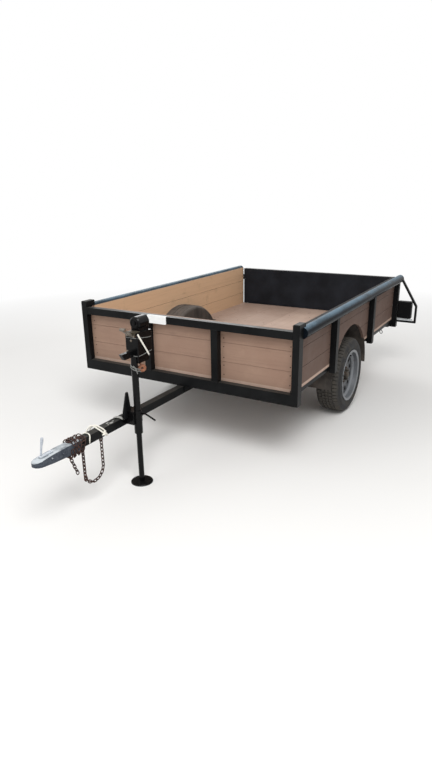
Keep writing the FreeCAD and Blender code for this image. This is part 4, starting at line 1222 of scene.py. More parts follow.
@dataclass
class Tyre:
    """One treaded tyre, modelled as one pitch of its tread and spun round the axle.

    The lug edges are shares of a pitch. A row is the span of distances from the tyre's middle plane
    that its grooves cross.
    """

    side: Side
    finishes: Finishes
    pitches: int = 60
    middle_y: float = 0.745
    groove: float = 0.0075
    crown: float = 0.297
    tread_depth: float = 0.0055
    lug_edges: tuple[float, ...] = (0.0, 0.055, 0.20, 0.255, 0.50, 0.555, 0.70, 0.755, 1.0)
    outer_row: tuple[float, float] = (0.042, 0.076)
    inner_row: tuple[float, float] = (-0.001, 0.042)
    edge_slack: float = 0.01
    sharp: float = 28.0

    def profile(self) -> list[tuple[float, float]]:
        """Lists the half section.

        Returns:
            Radius and distance from the middle plane, from the bead to the middle of the tread.
        """
        wall = [(0.1905, 0.000), (0.1905, 0.080), (0.2040, 0.0850), (0.2100, 0.0905),
                (0.2140, 0.0915), (0.2200, 0.0935), (0.2300, 0.0965), (0.2440, 0.0980),
                (0.2560, 0.0975), (0.2620, 0.0958), (0.2640, 0.0930), (0.2720, 0.0905),
                (0.2800, 0.0870), (0.2870, 0.0815), (0.2925, 0.0740)]
        top = self.crown
        low = top - self.groove
        tread = [(top - 0.0015, 0.0680), (top - 0.0006, 0.0460), (low, 0.0445), (low, 0.0395),
                 (top, 0.0380), (top, 0.0170), (low, 0.0155), (low, 0.0105), (top, 0.0090)]
        return wall + tread

    def outline(self) -> list[Vector]:
        """Places the whole section in the plane above the axle.

        Returns:
            Its points, from one bead to the other and back.
        """
        half = self.profile()
        points = [(radius, -y) for radius, y in half] + [(radius, y) for radius, y in half[:0:-1]]
        middle = self.side.value * self.middle_y
        return [Vector((AXLE_X, middle + y, AXLE_Z + radius)) for radius, y in points]

    def spin(self, angle: float, copies: int = 0) -> None:
        """Turns what is selected about the axle, as copies or else as one extrusion."""
        bpy.ops.mesh.spin(steps=copies or 1, dupli=copies > 0, angle=angle,
                          center=(AXLE_X, 0.0, AXLE_Z), axis=(0.0, 1.0, 0.0))

    def turned(self, point: Vector) -> float:
        """Angle of a point round the axle from straight up, in degrees."""
        return math.degrees(math.atan2(point.x - AXLE_X, point.z - AXLE_Z))

    def farthest(self, piece: Piece) -> Vector:
        """Finds the point turned farthest from straight up.

        Args:
            piece: The tyre's one pitch, being edited.

        Returns:
            The point.
        """
        mesh = bmesh.from_edit_mesh(piece.data)
        return max((point.co for point in mesh.verts),
                   key=lambda place: abs(self.turned(place))).copy()

    def draw(self, piece: Piece) -> None:
        """Draws the section as a closed row of edges, all selected.

        Args:
            piece: A plane, being edited.
        """
        outline = self.outline()
        mesh = bmesh.from_edit_mesh(piece.data)
        for corner in list(mesh.verts)[1:]:
            mesh.verts.remove(corner)
        mesh.verts.ensure_lookup_table()
        mesh.verts[0].co = outline[0]
        mesh.verts[0].select_set(True)
        bmesh.update_edit_mesh(piece.data)
        bpy.ops.mesh.select_mode(type="VERT")
        for start, end in zip(outline, outline[1:]):
            extrude(*(end - start))
        pick_all()
        bpy.ops.mesh.edge_face_add()
        pick_faces(piece, lambda centre, normal: True)
        bpy.ops.mesh.delete(type="ONLY_FACE")
        bpy.ops.mesh.select_mode(type="VERT")
        pick_all()

    def press(self, piece: Piece, low: float, high: float, row: tuple[float, float]) -> None:
        """Presses a groove into the tread.

        Args:
            piece: The tyre's one pitch, being edited.
            low: The angle that the groove starts at, in degrees.
            high: The angle that it ends at.
            row: Its span of distances from the middle plane.
        """
        sign = 1.0 if self.turned(self.farthest(piece)) > 0 else -1.0
        middle = self.side.value * self.middle_y

        def inside(point: Vector) -> bool:
            """Tells whether a point is of the groove.

            Args:
                point: The point.

            Returns:
                Whether it is of the tread's top, between the angles and in the row.
            """
            reach = math.hypot(point.x - AXLE_X, point.z - AXLE_Z)
            return (low + self.edge_slack < sign * self.turned(point) < high - self.edge_slack
                    and reach > self.crown - self.tread_depth
                    and row[0] < abs(point.y - middle) < row[1])

        pick_points(piece, inside)
        share = 1.0 - self.groove / self.crown
        stretch((share, 1.0, share), (AXLE_X, middle, AXLE_Z))

    def build(self) -> Piece:
        """Models the tyre.

        Returns:
            The piece.
        """
        side = self.side.name.lower()
        bpy.ops.mesh.primitive_plane_add(size=0.01, location=self.outline()[0])
        piece = settle(f"tread_tyre_{side}")
        edges = [360.0 / self.pitches * share for share in self.lug_edges]
        with editing(piece):
            self.draw(piece)
            for start, end in zip(edges, edges[1:]):
                self.spin(math.radians(end - start))
            self.press(piece, edges[0], edges[3], self.outer_row)
            self.press(piece, edges[4], edges[7], self.inner_row)
            pick_all()
            self.spin(2 * math.pi * (self.pitches - 1) / self.pitches, self.pitches - 1)
            pick_all()
            bpy.ops.mesh.remove_doubles(threshold=0.00001)
            face_out()
        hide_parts(f"tyre_{side}")
        return dressed(piece, self.finishes.rubber, f"wheel_{side}", self.sharp)


@dataclass
class WheelTrim:
    """Six-sided wheel nuts with stud ends, the brake drum's face and the valve of one wheel."""

    side: Side
    finishes: Finishes
    nuts: int = 5
    stud_circle: float = 0.057
    nut_inner_y: float = 0.776
    nut_radius: float = 0.0125
    nut_depth: float = 0.020
    stud_rise: float = 0.006
    drum_y: float = 0.7565
    drum_radius: float = 0.154
    drum_depth: float = 0.006
    drum_rim: float = 0.022
    drum_dish: float = 0.0012
    valve_y: float = 0.812
    valve_up: float = 0.164
    valve_radius: float = 0.0045
    valve_length: float = 0.040
    valve_tilt: float = 78.0
    valve_cap: float = 0.008

    def nut(self, angle: float) -> Piece:
        """Models one nut with its stud.

        Args:
            angle: Its angle round the hub.

        Returns:
            The nut.
        """
        sign = self.side.value
        place = (AXLE_X + self.stud_circle * math.sin(angle),
                 sign * (self.nut_inner_y + self.nut_depth / 2),
                 AXLE_Z + self.stud_circle * math.cos(angle))
        bpy.ops.mesh.primitive_cylinder_add(vertices=6, radius=self.nut_radius,
                                            depth=self.nut_depth, location=place,
                                            rotation=(math.pi / 2, 0, 0))
        piece = settle("nut")
        with editing(piece):
            pick_side(piece, Axis.Y, sign)
            bevel(0.0015)
            pick_side(piece, Axis.Y, sign)
            inset(0.004)
            extrude(0.0, sign * self.stud_rise, 0.0)
            inset(0.0012)
            shift(0.0, sign * 0.0012, 0.0)
        return piece

    def valve(self) -> Piece:
        """Models the tyre valve, through the rim's barrel.

        Returns:
            The piece.
        """
        sign = self.side.value
        bpy.ops.mesh.primitive_cylinder_add(
            vertices=12, radius=self.valve_radius, depth=self.valve_length,
            location=(AXLE_X, sign * self.valve_y, AXLE_Z + self.valve_up),
            rotation=(math.radians(sign * self.valve_tilt), 0, 0))
        piece = settle(f"valve_{self.side.name.lower()}")
        with editing(piece):
            pick_side(piece, Axis.Y, sign)
            inset(0.001)
            extrude(0.0, sign * self.valve_cap, 0.0)
            bevel(0.0008)
        return piece

    def drum(self) -> Piece:
        """Models the brake drum's dark face behind the vents, stepped round its hub.

        Returns:
            The piece.
        """
        sign = self.side.value
        y = sign * (self.drum_y - self.drum_depth / 2)
        bpy.ops.mesh.primitive_cylinder_add(vertices=64, radius=self.drum_radius,
                                            depth=self.drum_depth, location=(AXLE_X, y, AXLE_Z),
                                            rotation=(math.pi / 2, 0, 0))
        piece = settle(f"brake_drum_{self.side.name.lower()}")
        with editing(piece):
            for facing in (sign, -sign):
                pick_side(piece, Axis.Y, facing)
                bevel(0.0015)
                pick_side(piece, Axis.Y, facing, 0.99)
                inset(self.drum_rim)
                extrude(0.0, -facing * self.drum_dish, 0.0)
                inset(0.012)
        return piece

    def build(self) -> None:
        """Models the drum, the nuts and the valve."""
        side = self.side.name.lower()
        dressed(self.drum(), self.finishes.under, f"wheel_{side}")
        nuts = [self.nut(2 * math.pi * index / self.nuts) for index in range(self.nuts)]
        piece = joined(nuts, f"wheel_nuts_{side}")
        dressed(piece, self.finishes.hub, f"wheel_{side}")
        dressed(self.valve(), self.finishes.lamp, f"wheel_{side}")


@dataclass(frozen=True)
class Strand:
    """One hanging strand of chain, with its places as distances ahead of the box."""

    ahead: float
    y: float
    links: int
    far: Optional[float] = None
    lean: float = 0.0


@dataclass
class Chains:
    """Round-bar links of the hanging loop, the loose strands and the turns round the tongue.

    Each wobble is the amount and the rate of an unevenness from link to link: in a wound link's
    tilt, its place along the beam and its distance from the beam.
    """

    finishes: Finishes
    bar: float = 0.003
    half_width: float = 0.0085
    half_straight: float = 0.0065
    pitch: float = 0.0231
    hole_z: float = 0.361
    first_drop: float = 0.0173
    loop_bottom: float = 0.2074
    strands: tuple[Strand, ...] = (Strand(0.985, 0.012, 23, far=0.835), Strand(0.960, -0.014, 9),
                                   Strand(1.075, 0.0, 6, lean=0.36))
    wrap_clear: float = 0.0070
    wrap_half: float = 0.029
    wrap_start: float = 1.566
    wrap_length: float = 0.104
    wrap_turns: int = 4
    wrap_links: int = 12
    wrap_tilt: float = 42.0
    wrap_loose: float = 0.013
    wrap_corners: int = 5
    tilt_wobble: tuple[float, float] = (0.16, 2.3)
    along_wobble: tuple[float, float] = (0.006, 1.7)
    out_wobble: tuple[float, float] = (0.0015, 3.1)

    def link(self) -> Piece:
        """Models the pattern link, round-ended, along X and wide along Y.

        Returns:
            The link.
        """
        bpy.ops.mesh.primitive_torus_add(major_radius=self.half_width, minor_radius=self.bar,
                                         major_segments=16, minor_segments=6)
        piece = settle("chain_link")
        with editing(piece):
            for sign in (-1, 1):
                pick_points(piece, lambda point: sign * point.x > NEAR)
                shift(sign * self.half_straight, 0.0, 0.0)
            pick_faces(piece, lambda centre, normal: abs(centre.x) < self.half_straight)
            bpy.ops.mesh.subdivide(number_cuts=1)
        return piece

    def hanging(self, strand: Strand) -> list[tuple[Vector, Vector]]:
        """Works out a strand, straight down and, with a far end, round and up to it.

        Args:
            strand: The strand.

        Returns:
            Middle and direction of each link, with y still 0.
        """
        x = FRONT_X + strand.ahead
        start = self.hole_z - self.first_drop
        straight = start - self.loop_bottom
        turn = (strand.ahead - strand.far) / 2 if strand.far is not None else 0.0
        places = []
        for index in range(strand.links):
            way = index * self.pitch
            if strand.far is None or way <= straight:
                places.append((Vector((x, 0, start - way)), Vector((0, 0, -1))))
            elif way <= straight + math.pi * turn:
                angle = (way - straight) / turn
                places.append((Vector((x - turn + turn * math.cos(angle), 0,
                                       self.loop_bottom - turn * math.sin(angle))),
                               Vector((-math.sin(angle), 0, -math.cos(angle)))))
            else:
                up = way - straight - math.pi * turn
                places.append((Vector((FRONT_X + strand.far, 0, self.loop_bottom + up)),
                               Vector((0, 0, 1))))
        return places

    def hang(self, link: Piece) -> None:
        """Hangs the strands under the tongue, each link turned against the one before it.

        Args:
            link: The pattern link.
        """
        links = []
        for strand in self.strands:
            swing = Matrix.Rotation(strand.lean, 3, "Y")
            top = Vector((FRONT_X + strand.ahead, 0.0, self.hole_z))
            for index, (place, along) in enumerate(self.hanging(strand)):
                side = Vector((0, 1, 0)) if index % 2 == 0 else Vector((-along.z, 0, along.x))
                hung = top + swing @ (place - top) + Vector((0, strand.y, 0))
                links.append(copied(link, frame_of(swing @ along, swing @ side, hung)))
        piece = joined(links, "hanging_chains")
        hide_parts("safety_chains")
        dressed(piece, self.finishes.rust, "frame", ROUND_EDGES)

    def spot(self, turn: float) -> Vector:
        """Finds a point of the rounded square that the wound links follow, loose below.

        Args:
            turn: The point's angle round the beam.

        Returns:
            The point, from the beam's middle.
        """
        across, up = math.cos(turn), math.sin(turn)
        power = self.wrap_corners
        reach = (self.wrap_half + self.wrap_clear) / (abs(across) ** power
                                                      + abs(up) ** power) ** (1 / power)
        return Vector((0.0, across * reach, up * reach - self.wrap_loose * max(0.0, -up)))

    def wrapped(self, link: Piece, index: int, share: float) -> Piece:
        """Lays one link of the turns, half over so that the turns stay close.

        Args:
            link: The pattern link.
            index: Its number.
            share: How far along the turns it is, from 0 to 1.

        Returns:
            The link.
        """
        angle = 2 * math.pi * (index + 0.5) / self.wrap_links
        along = (self.spot(angle + 0.05) - self.spot(angle - 0.05)).normalized()
        out = Vector((1, 0, 0)).cross(along).normalized()
        tilt = math.radians(self.wrap_tilt if index % 2 == 0 else -self.wrap_tilt)
        tilt += self.tilt_wobble[0] * math.sin(self.tilt_wobble[1] * index)
        side = Matrix.Rotation(tilt, 3, along) @ Vector((1, 0, 0))
        side = (side - along * side.dot(along)).normalized()
        x = self.wrap_start + self.wrap_length * share
        x += self.along_wobble[0] * math.sin(self.along_wobble[1] * index)
        away = self.out_wobble[0] * math.cos(self.out_wobble[1] * index)
        place = self.spot(angle) + Vector((x, 0, BEAM_Z)) + out * away
        return copied(link, frame_of(along, side, place))

    def wrap(self, link: Piece) -> None:
        """Winds the turns of chain round the rear of the coupler.

        Args:
            link: The pattern link.
        """
        total = self.wrap_turns * self.wrap_links
        links = [self.wrapped(link, index, index / total) for index in range(total)]
        piece = joined(links, "wound_chain")
        dressed(piece, self.finishes.rust, "frame", ROUND_EDGES)

    def build(self) -> None:
        """Models the chains."""
        link = self.link()
        self.hang(link)
        self.wrap(link)
        removed(link)


@dataclass
class Coupler:
    """Pressed coupler that narrows to its nose, with its bolts, and its latch lever.

    A station is the place along X, half the width, the bottom and the top.
    """

    finishes: Finishes
    stations: tuple[tuple[float, float, float, float], ...] = (
        (1.585, 0.0290, 0.374, 0.432), (1.705, 0.0290, 0.374, 0.432),
        (1.790, 0.0288, 0.380, 0.431), (1.845, 0.0300, 0.387, 0.428),
        (1.872, 0.0310, 0.391, 0.425), (1.890, 0.0250, 0.394, 0.423),
        (1.900, 0.0160, 0.396, 0.421), (1.905, 0.0060, 0.398, 0.419))
    pocket: tuple[float, float] = (1.72, 1.86)
    pocket_rim: float = 0.004
    pocket_depth: float = 0.024
    bolt_y: float = 0.0285
    bolt_radius: float = 0.0075
    bolt_rise: float = 0.005
    bolt_places: tuple[tuple[float, float], ...] = ((1.722, 0.404), (1.800, 0.408))
    foot: tuple[Triple, Triple] = ((1.772, -0.011, 0.4305), (1.858, 0.011, 0.440))
    lever: tuple[Triple, ...] = ((1.846, 0.0, 0.438), (1.842, 0.0, 0.462), (1.836, 0.0, 0.492),
                                 (1.830, 0.0, 0.512), (1.826, 0.0, 0.533))
    lever_radius: float = 0.0055
    grip_widths: tuple[float, ...] = (1.0, 1.5, 1.25)
    pivot: Triple = (1.785, 0.0, 0.439)

    def shell(self) -> Piece:
        """Models the housing, extruded from station to station and hollowed from below.

        Returns:
            The piece.
        """
        rear, half, low, high = self.stations[0]
        ahead = self.stations[1][0]
        bpy.ops.mesh.primitive_cube_add(size=1.0, scale=(ahead - rear, 2 * half, high - low),
                                        location=((rear + ahead) / 2, 0.0, (low + high) / 2))
        piece = settle("tapered_coupler")
        with editing(piece):
            pick_side(piece, Axis.X)
            for before, after in zip(self.stations[1:], self.stations[2:]):
                middle = (after[2] + after[3]) / 2
                extrude(after[0] - before[0], 0.0, middle - (before[2] + before[3]) / 2)
                flat = (after[3] - after[2]) / (before[3] - before[2])
                stretch((1.0, after[1] / before[1], flat), (after[0], 0.0, middle))
            rear_end, front_end = self.pocket
            pick_faces(piece, lambda centre, normal: normal.z < -0.9
                       and rear_end < centre.x < front_end)
            inset(self.pocket_rim)
            extrude(0.0, 0.0, self.pocket_depth)
        round_corners(piece, 0.0045, 3, 40.0)
        return piece

    def bolts(self) -> list[Piece]:
        """Models the bolt heads on the left side, and turns each over for its nut on the right.

        Returns:
            The heads and the nuts.
        """
        over = Matrix.Translation((0.0, 0.0, 2 * BEAM_Z)) @ Matrix.Rotation(math.pi, 4, "X")
        heads = [bolt_head("coupler_bolt", (x, self.bolt_y, z), Axis.Y, self.bolt_radius,
                           self.bolt_rise) for x, z in self.bolt_places]
        return heads + [copied(head, over) for head in heads]

    def latch(self) -> Piece:
        """Models the lever on its foot, thin, leaning back to its wider grip.

        Returns:
            The piece.
        """
        foot = block("foot", *self.foot, 0.003)
        stem = swept("stem", self.lever, self.lever_radius, 10)
        with editing(stem):
            for place, wide in zip(self.lever[2:], self.grip_widths):
                pick_points(stem, lambda point: abs(point.z - place[2]) < self.lever_radius)
                stretch((wide, wide, 1.0), place)
        round_corners(stem, 0.0015, 2, 50.0)
        pivot = bolt_head("pivot", self.pivot, Axis.Z, 0.007, 0.004)
        return joined([foot, stem, pivot], "thin_latch")

    def build(self) -> None:
        """Models the coupler and its latch."""
        shell = joined([self.shell()] + self.bolts(), "tapered_coupler")
        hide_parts("coupler")
        dressed(shell, self.finishes.galvanised, "frame")
        latch = self.latch()
        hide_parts("coupler_latch")
        dressed(latch, self.finishes.zinc, "frame")


@dataclass
class BeamTies:
    """Cream cords tied over the tongue beam, which hold the chain up, and the marks behind them.

    A fleck is its place along X and Y, and its radius.
    """

    finishes: Finishes
    thick: float = 0.0052
    thin: float = 0.0042
    loops: tuple[tuple[Triple, ...], ...] = (
        ((1.504, -0.031, 0.392), (1.491, -0.032, 0.424), (1.477, -0.023, 0.450),
         (1.462, -0.011, 0.464), (1.455, 0.004, 0.454), (1.447, 0.020, 0.439),
         (1.432, 0.032, 0.424), (1.418, 0.034, 0.405), (1.407, 0.034, 0.388)),
        ((1.466, -0.031, 0.396), (1.461, -0.031, 0.434), (1.448, -0.016, 0.455),
         (1.437, 0.002, 0.454), (1.424, 0.019, 0.438), (1.409, 0.032, 0.424),
         (1.401, 0.034, 0.403), (1.409, 0.033, 0.381)),
        ((1.434, 0.036, 0.396), (1.420, 0.041, 0.402), (1.405, 0.041, 0.402),
         (1.394, 0.036, 0.394), (1.389, 0.034, 0.374)),
    )
    band: tuple[Triple, ...] = (
        (1.530, 0.0295, 0.380), (1.524, 0.0300, 0.420), (1.516, 0.0240, 0.4328),
        (1.511, 0.0000, 0.4335), (1.513, -0.0240, 0.4328), (1.520, -0.0300, 0.420),
        (1.528, -0.0295, 0.384), (1.531, -0.0240, 0.3730), (1.532, 0.0240, 0.3730))
    knot: Triple = (1.408, 0.035, 0.410)
    knot_radius: float = 0.0085
    rag: tuple[tuple[Triple, ...], ...] = (
        ((1.262, -0.0300, 0.400), (1.260, -0.0290, 0.428), (1.257, -0.0180, 0.4345),
         (1.252, 0.0040, 0.4350), (1.247, 0.0240, 0.4335), (1.244, 0.0305, 0.422)),
        ((1.250, -0.0300, 0.412), (1.249, -0.0280, 0.431), (1.247, -0.0050, 0.4370),
         (1.241, 0.0160, 0.4360), (1.236, 0.0290, 0.430), (1.233, 0.0310, 0.414)))
    rag_thick: float = 0.0046
    flecks: tuple[Triple, ...] = ((1.322, 0.010, 0.011), (1.338, -0.006, 0.008),
                                  (1.296, 0.000, 0.006), (1.352, 0.014, 0.005))

    def cord(self, path: Sequence[Triple], radius: float) -> Piece:
        """Models one limp cord.

        Args:
            path: Its middle line.
            radius: Its radius.

        Returns:
            The piece.
        """
        piece = swept("cord", path, radius, 10)
        soften(piece)
        return piece

    def marks(self) -> Piece:
        """Models the grey rag wound round the beam by the jack, and the dried drips ahead of it.

        Returns:
            The piece.
        """
        rags = [self.cord(path, self.rag_thick) for path in self.rag]
        flecks = [lump("fleck", (x, y, BEAM_TOP), radius, (1.3, 0.8, 0.12), 0.0009, 9)
                  for x, y, radius in self.flecks]
        return joined(rags + flecks, "beam_marks")

    def build(self) -> None:
        """Models the marks and the cords with their knot."""
        dressed(self.marks(), self.finishes.pale_tie, "frame", ROUND_EDGES)
        cords = [self.cord(loop, self.thick) for loop in self.loops]
        cords.append(self.cord(self.band, self.thin))
        knot = lump("knot", self.knot, self.knot_radius, (1.25, 0.7, 0.9), 0.0014, 3)
        dressed(joined(cords + [knot], "beam_cords"), self.finishes.white_tie, "frame",
                ROUND_EDGES)


@dataclass
class RailTag:
    """Blank white tag stuck on the front rail and folded over its top."""

    finishes: Finishes
    y0: float = -0.262
    y1: float = -0.100
    bottom: float = 0.847
    fold: float = 0.018
    stand_off: float = 0.0012
    crease: float = 0.004
    thick: float = 0.0006

    def build(self) -> None:
        """Models the tag."""
        height = RAIL_TOP - self.bottom
        front = FRONT_X + self.stand_off
        middle = (front, (self.y0 + self.y1) / 2, self.bottom + height / 2)
        bpy.ops.mesh.primitive_plane_add(size=height, location=middle,
                                         rotation=(0.0, math.pi / 2, 0.0))
        piece = settle("rail_tag")
        flat_top = RAIL_TOP - self.crease
        with editing(piece):
            pick_all()
            stretch((1.0, (self.y1 - self.y0) / height, 1.0), middle)
            pick_points(piece, lambda point: point.z > RAIL_TOP - NEAR)
            extrude(-self.fold, 0.0, self.stand_off)
            pick_all()
            bpy.ops.mesh.subdivide(number_cuts=9)
            pick_points(piece, lambda point: point.z < flat_top)
            roughen(0.0012, 4)
            pick_points(piece, lambda point: point.z < flat_top and point.x < front)
            shift(self.stand_off, 0.0, 0.0)
            face_out()
        modify(piece, "SOLIDIFY", thickness=self.thick, offset=1.0)
        soften(piece)
        dressed(piece, self.finishes.tag, "frame", 50.0)


@dataclass
class JackTrim:
    """Cords, strip, bolts and bracket on the jack's head, and the parts loose below it.

    A cord is its height and its rise from rear to front. A bolt is its place along Y and Z, its
    radius and its rise. A short strand's places are an angle round the tube and a height.
    """

    finishes: Finishes
    half_length: float = 0.066
    half_width: float = 0.044
    cord_radius: float = 0.0020
    cord_corners: int = 9
    cords: tuple[tuple[float, float], ...] = ((0.915, 0.014), (0.822, -0.012))
    strip_x: float = 1.1505
    strip_z: float = 0.876
    strip_half: float = 0.083
    strip_wide: float = 0.0055
    strip_gap: float = 0.0006
    strip_thick: float = 0.0020
    strip_turn: float = 57.0
    strip_free: float = 0.83
    strip_lift: float = 0.004
    ring: Triple = (1.152, 0.1285, 0.734)
    ring_radii: tuple[float, float] = (0.0155, 0.0110)
    ring_tilt: Triple = (84.0, 0.0, -38.0)
    stub: tuple[Triple, ...] = ((1.160, 0.119, 0.772), (1.158, 0.122, 0.760),
                                (1.154, 0.125, 0.750))
    stub_radius: float = 0.006
    strand_radius: float = 0.003
    strand_gap: float = 0.0002
    strand_turns: tuple[float, ...] = (-45, -15, 15, 45, 75)
    strand_fall: float = 0.0002
    strand_heights: tuple[float, ...] = (0.762, 0.749)
    strand_ends: tuple[tuple[Triple, ...], ...] = (
        ((1.172, 0.128, 0.732), (1.160, 0.126, 0.726)),
        ((1.174, 0.127, 0.722), (1.163, 0.125, 0.713)))
    short_strand: tuple[tuple[float, float], ...] = ((20, 0.758), (45, 0.746), (64, 0.730),
                                                     (78, 0.708))
    bolts: tuple[tuple[float, float, float, float], ...] = (
        (0.121, 0.932, 0.0065, 0.005), (0.099, 0.905, 0.0055, 0.004),
        (0.070, 0.935, 0.0055, 0.004), (0.066, 0.840, 0.0055, 0.004))
    hub_x: float = 1.1645
    hub_z: float = 0.997
    hub_radius: float = 0.028
    hub_depth: float = 0.004
    shaft_rise: float = 0.008
    plate_rear: float = 1.158
    plate_right: float = 0.068
    plate_left: float = 0.134
    lip_right: float = 0.100
    fin_low: Triple = (1.190, 0.044, 0.432)
    fin_high: Triple = (1.256, 0.056, 0.478)
    pin: tuple[Triple, ...] = ((1.151, 0.116, 0.446), (1.151, 0.134, 0.445), (1.152, 0.150, 0.440),
                               (1.154, 0.178, 0.431), (1.156, 0.206, 0.421))
    pin_radius: float = 0.0055

    def cord(self, z: float, slope: float) -> Piece:
        """Models a cord tied round the head.

        Args:
            z: Its height.
            slope: Rise from its rear to its front.

        Returns:
            The piece.
        """
        round_radius = 0.05
        bpy.ops.mesh.primitive_torus_add(major_radius=round_radius, minor_radius=self.cord_radius,
                                         major_segments=40, minor_segments=6,
                                         location=(HEAD_X, JACK_Y, z))
        piece = settle("head_cord")
        reach_x = self.half_length + self.cord_radius * 0.7
        reach_y = self.half_width + self.cord_radius * 0.7
        power = self.cord_corners
        with editing(piece):
            mesh = bmesh.from_edit_mesh(piece.data)
            for point in mesh.verts:
                across = Vector((point.co.x - HEAD_X, point.co.y - JACK_Y))
                spread = across.length - round_radius
                angle = math.atan2(across.y, across.x)
                cosine, sine = math.cos(angle), math.sin(angle)
                reach = 1 / (abs(cosine / reach_x) ** power
                             + abs(sine / reach_y) ** power) ** (1 / power)
                point.co.x = HEAD_X + cosine * (reach + spread)
                point.co.y = JACK_Y + sine * (reach + spread)
                point.co.z += slope * cosine * 0.5
            bmesh.update_edit_mesh(piece.data)
        return piece

    def strip(self) -> Piece:
        """Models the pale strip slantwise on the head's left face, its low end lifted.

        Returns:
            The piece.
        """
        y = JACK_Y + self.half_width
        near = y + self.strip_gap
        piece = block("head_strip",
                      (self.strip_x - self.strip_half, near, self.strip_z - self.strip_wide),
                      (self.strip_x + self.strip_half, near + self.strip_thick,
                       self.strip_z + self.strip_wide), 0.0006)
        with editing(piece):
            pick_all()
            bpy.ops.transform.rotate(value=math.radians(self.strip_turn), orient_axis="Y",
                                     center_override=(self.strip_x, y, self.strip_z))
            pick_points(piece, lambda point: point.z < self.strip_free)
            shift(0.0, self.strip_lift, 0.0)
        return piece

    def rusty(self) -> Piece:
        """Models the rusted ring that hangs against the tube below the head.

        Returns:
            The piece.
        """
        ring = ringed("rusty_ring", self.ring, *self.ring_radii, self.ring_tilt)
        with editing(ring):
            pick_all()
            roughen(0.0024, 11)
        soften(ring)
        return joined([ring, swept("stub", self.stub, self.stub_radius)], "rusty_ring")

    def around(self, degrees: float, z: float) -> Triple:
        """Finds the middle of a strand that lies on the outer tube.

        Args:
            degrees: Its angle from straight ahead.
            z: Its height.

        Returns:
            The place.
        """
        turn = math.radians(degrees)
        reach = TUBE_RADIUS + self.strand_radius + self.strand_gap
        return (JACK_X + reach * math.cos(turn), JACK_Y + reach * math.sin(turn), z)

    def strands(self) -> Piece:
        """Models the loose pale strands wound round the tube beside the ring.

        Returns:
            The piece.
        """
        start = self.strand_turns[0]
        paths = [[self.around(turn, high - self.strand_fall * (turn - start))
                  for turn in self.strand_turns] + list(end)
                 for high, end in zip(self.strand_heights, self.strand_ends)]
        paths.append([self.around(turn, z) for turn, z in self.short_strand])
        return joined([swept("strand", path, self.strand_radius) for path in paths],
                      "tube_strands")

    def hub(self) -> Piece:
        """Models the drum's end plate, stepped in to its shaft.

        Returns:
            The piece.
        """
        bpy.ops.mesh.primitive_cylinder_add(vertices=40, radius=self.hub_radius,
                                            depth=self.hub_depth, rotation=STANDING[Axis.X],
                                            location=(self.hub_x, JACK_Y, self.hub_z))
        piece = settle("drum_hub")
        with editing(piece):
            pick_side(piece, Axis.X)
            bevel(0.001)
            pick_side(piece, Axis.X, 1, 0.99)
            inset(0.007)
            extrude(-0.002, 0.0, 0.0)
            inset(0.009)
            extrude(self.shaft_rise, 0.0, 0.0)
            bevel(0.0012)
        return piece

    def bracket(self) -> Piece:
        """Models the small plate bent over the head's front edge.

        Returns:
            The piece.
        """
        plate = block("head_bracket", (self.plate_rear, self.plate_right, HEAD_TOP - 0.0005),
                      (HEAD_FRONT + 0.0025, self.plate_left, HEAD_TOP + 0.0045), 0.001)
        with editing(plate):
            pick_side(plate, Axis.Z, -1)
            inset(0.002)
            extrude(0.0, 0.0, 0.001)
        lip = block("lip", (HEAD_FRONT + 0.0005, self.lip_right, HEAD_TOP - 0.020),
                    (HEAD_FRONT + 0.0045, self.plate_left, HEAD_TOP + 0.004), 0.001)
        return joined([plate, lip], "head_bracket")

    def fin(self) -> Piece:
        """Models the pointed gusset plate that rises beside the tube from the mount.

        Returns:
            The piece.
        """
        piece = block("mount_fin", self.fin_low, self.fin_high, 0.0015)
        middle_y = (self.fin_low[1] + self.fin_high[1]) / 2
        with editing(piece):
            pick_side(piece, Axis.Z)
            extrude(-0.004, 0.0, 0.050)
            stretch((0.66, 1.0, 1.0), (1.216, middle_y, 0.528))
            extrude(-0.003, 0.0, 0.062)
            stretch((0.30, 1.0, 1.0), (1.213, middle_y, 0.590))
        return piece

    def build(self) -> None:
        """Models the jack's trim."""
        look, body, slot = self.finishes, "jack_tube", "jack_black"
        cords = [self.cord(z, slope) for z, slope in self.cords]
        bolts = [("bolt", (HEAD_FRONT, y, z), Axis.X, radius, rise)
                 for y, z, radius, rise in self.bolts]
        dressed(joined(cords, "head_cords"), look.dark_tie, body, ROUND_EDGES)
        dressed(self.strip(), look.white_tie, body)
        dressed(self.rusty(), look.orange_rust, body, ROUND_EDGES)
        dressed(self.strands(), look.dark_tie, body, ROUND_EDGES)
        dressed(joined([bolt_head(*bolt) for bolt in bolts], "head_bolts"), look.bright, body)
        dressed(self.hub(), look.jack, body)
        dressed(self.bracket(), look.olive, body)
        dressed(self.fin(), look.frame, "frame")
        dressed(swept("pin_handle", self.pin, self.pin_radius, 10), look.jack, body,
                ROUND_EDGES)


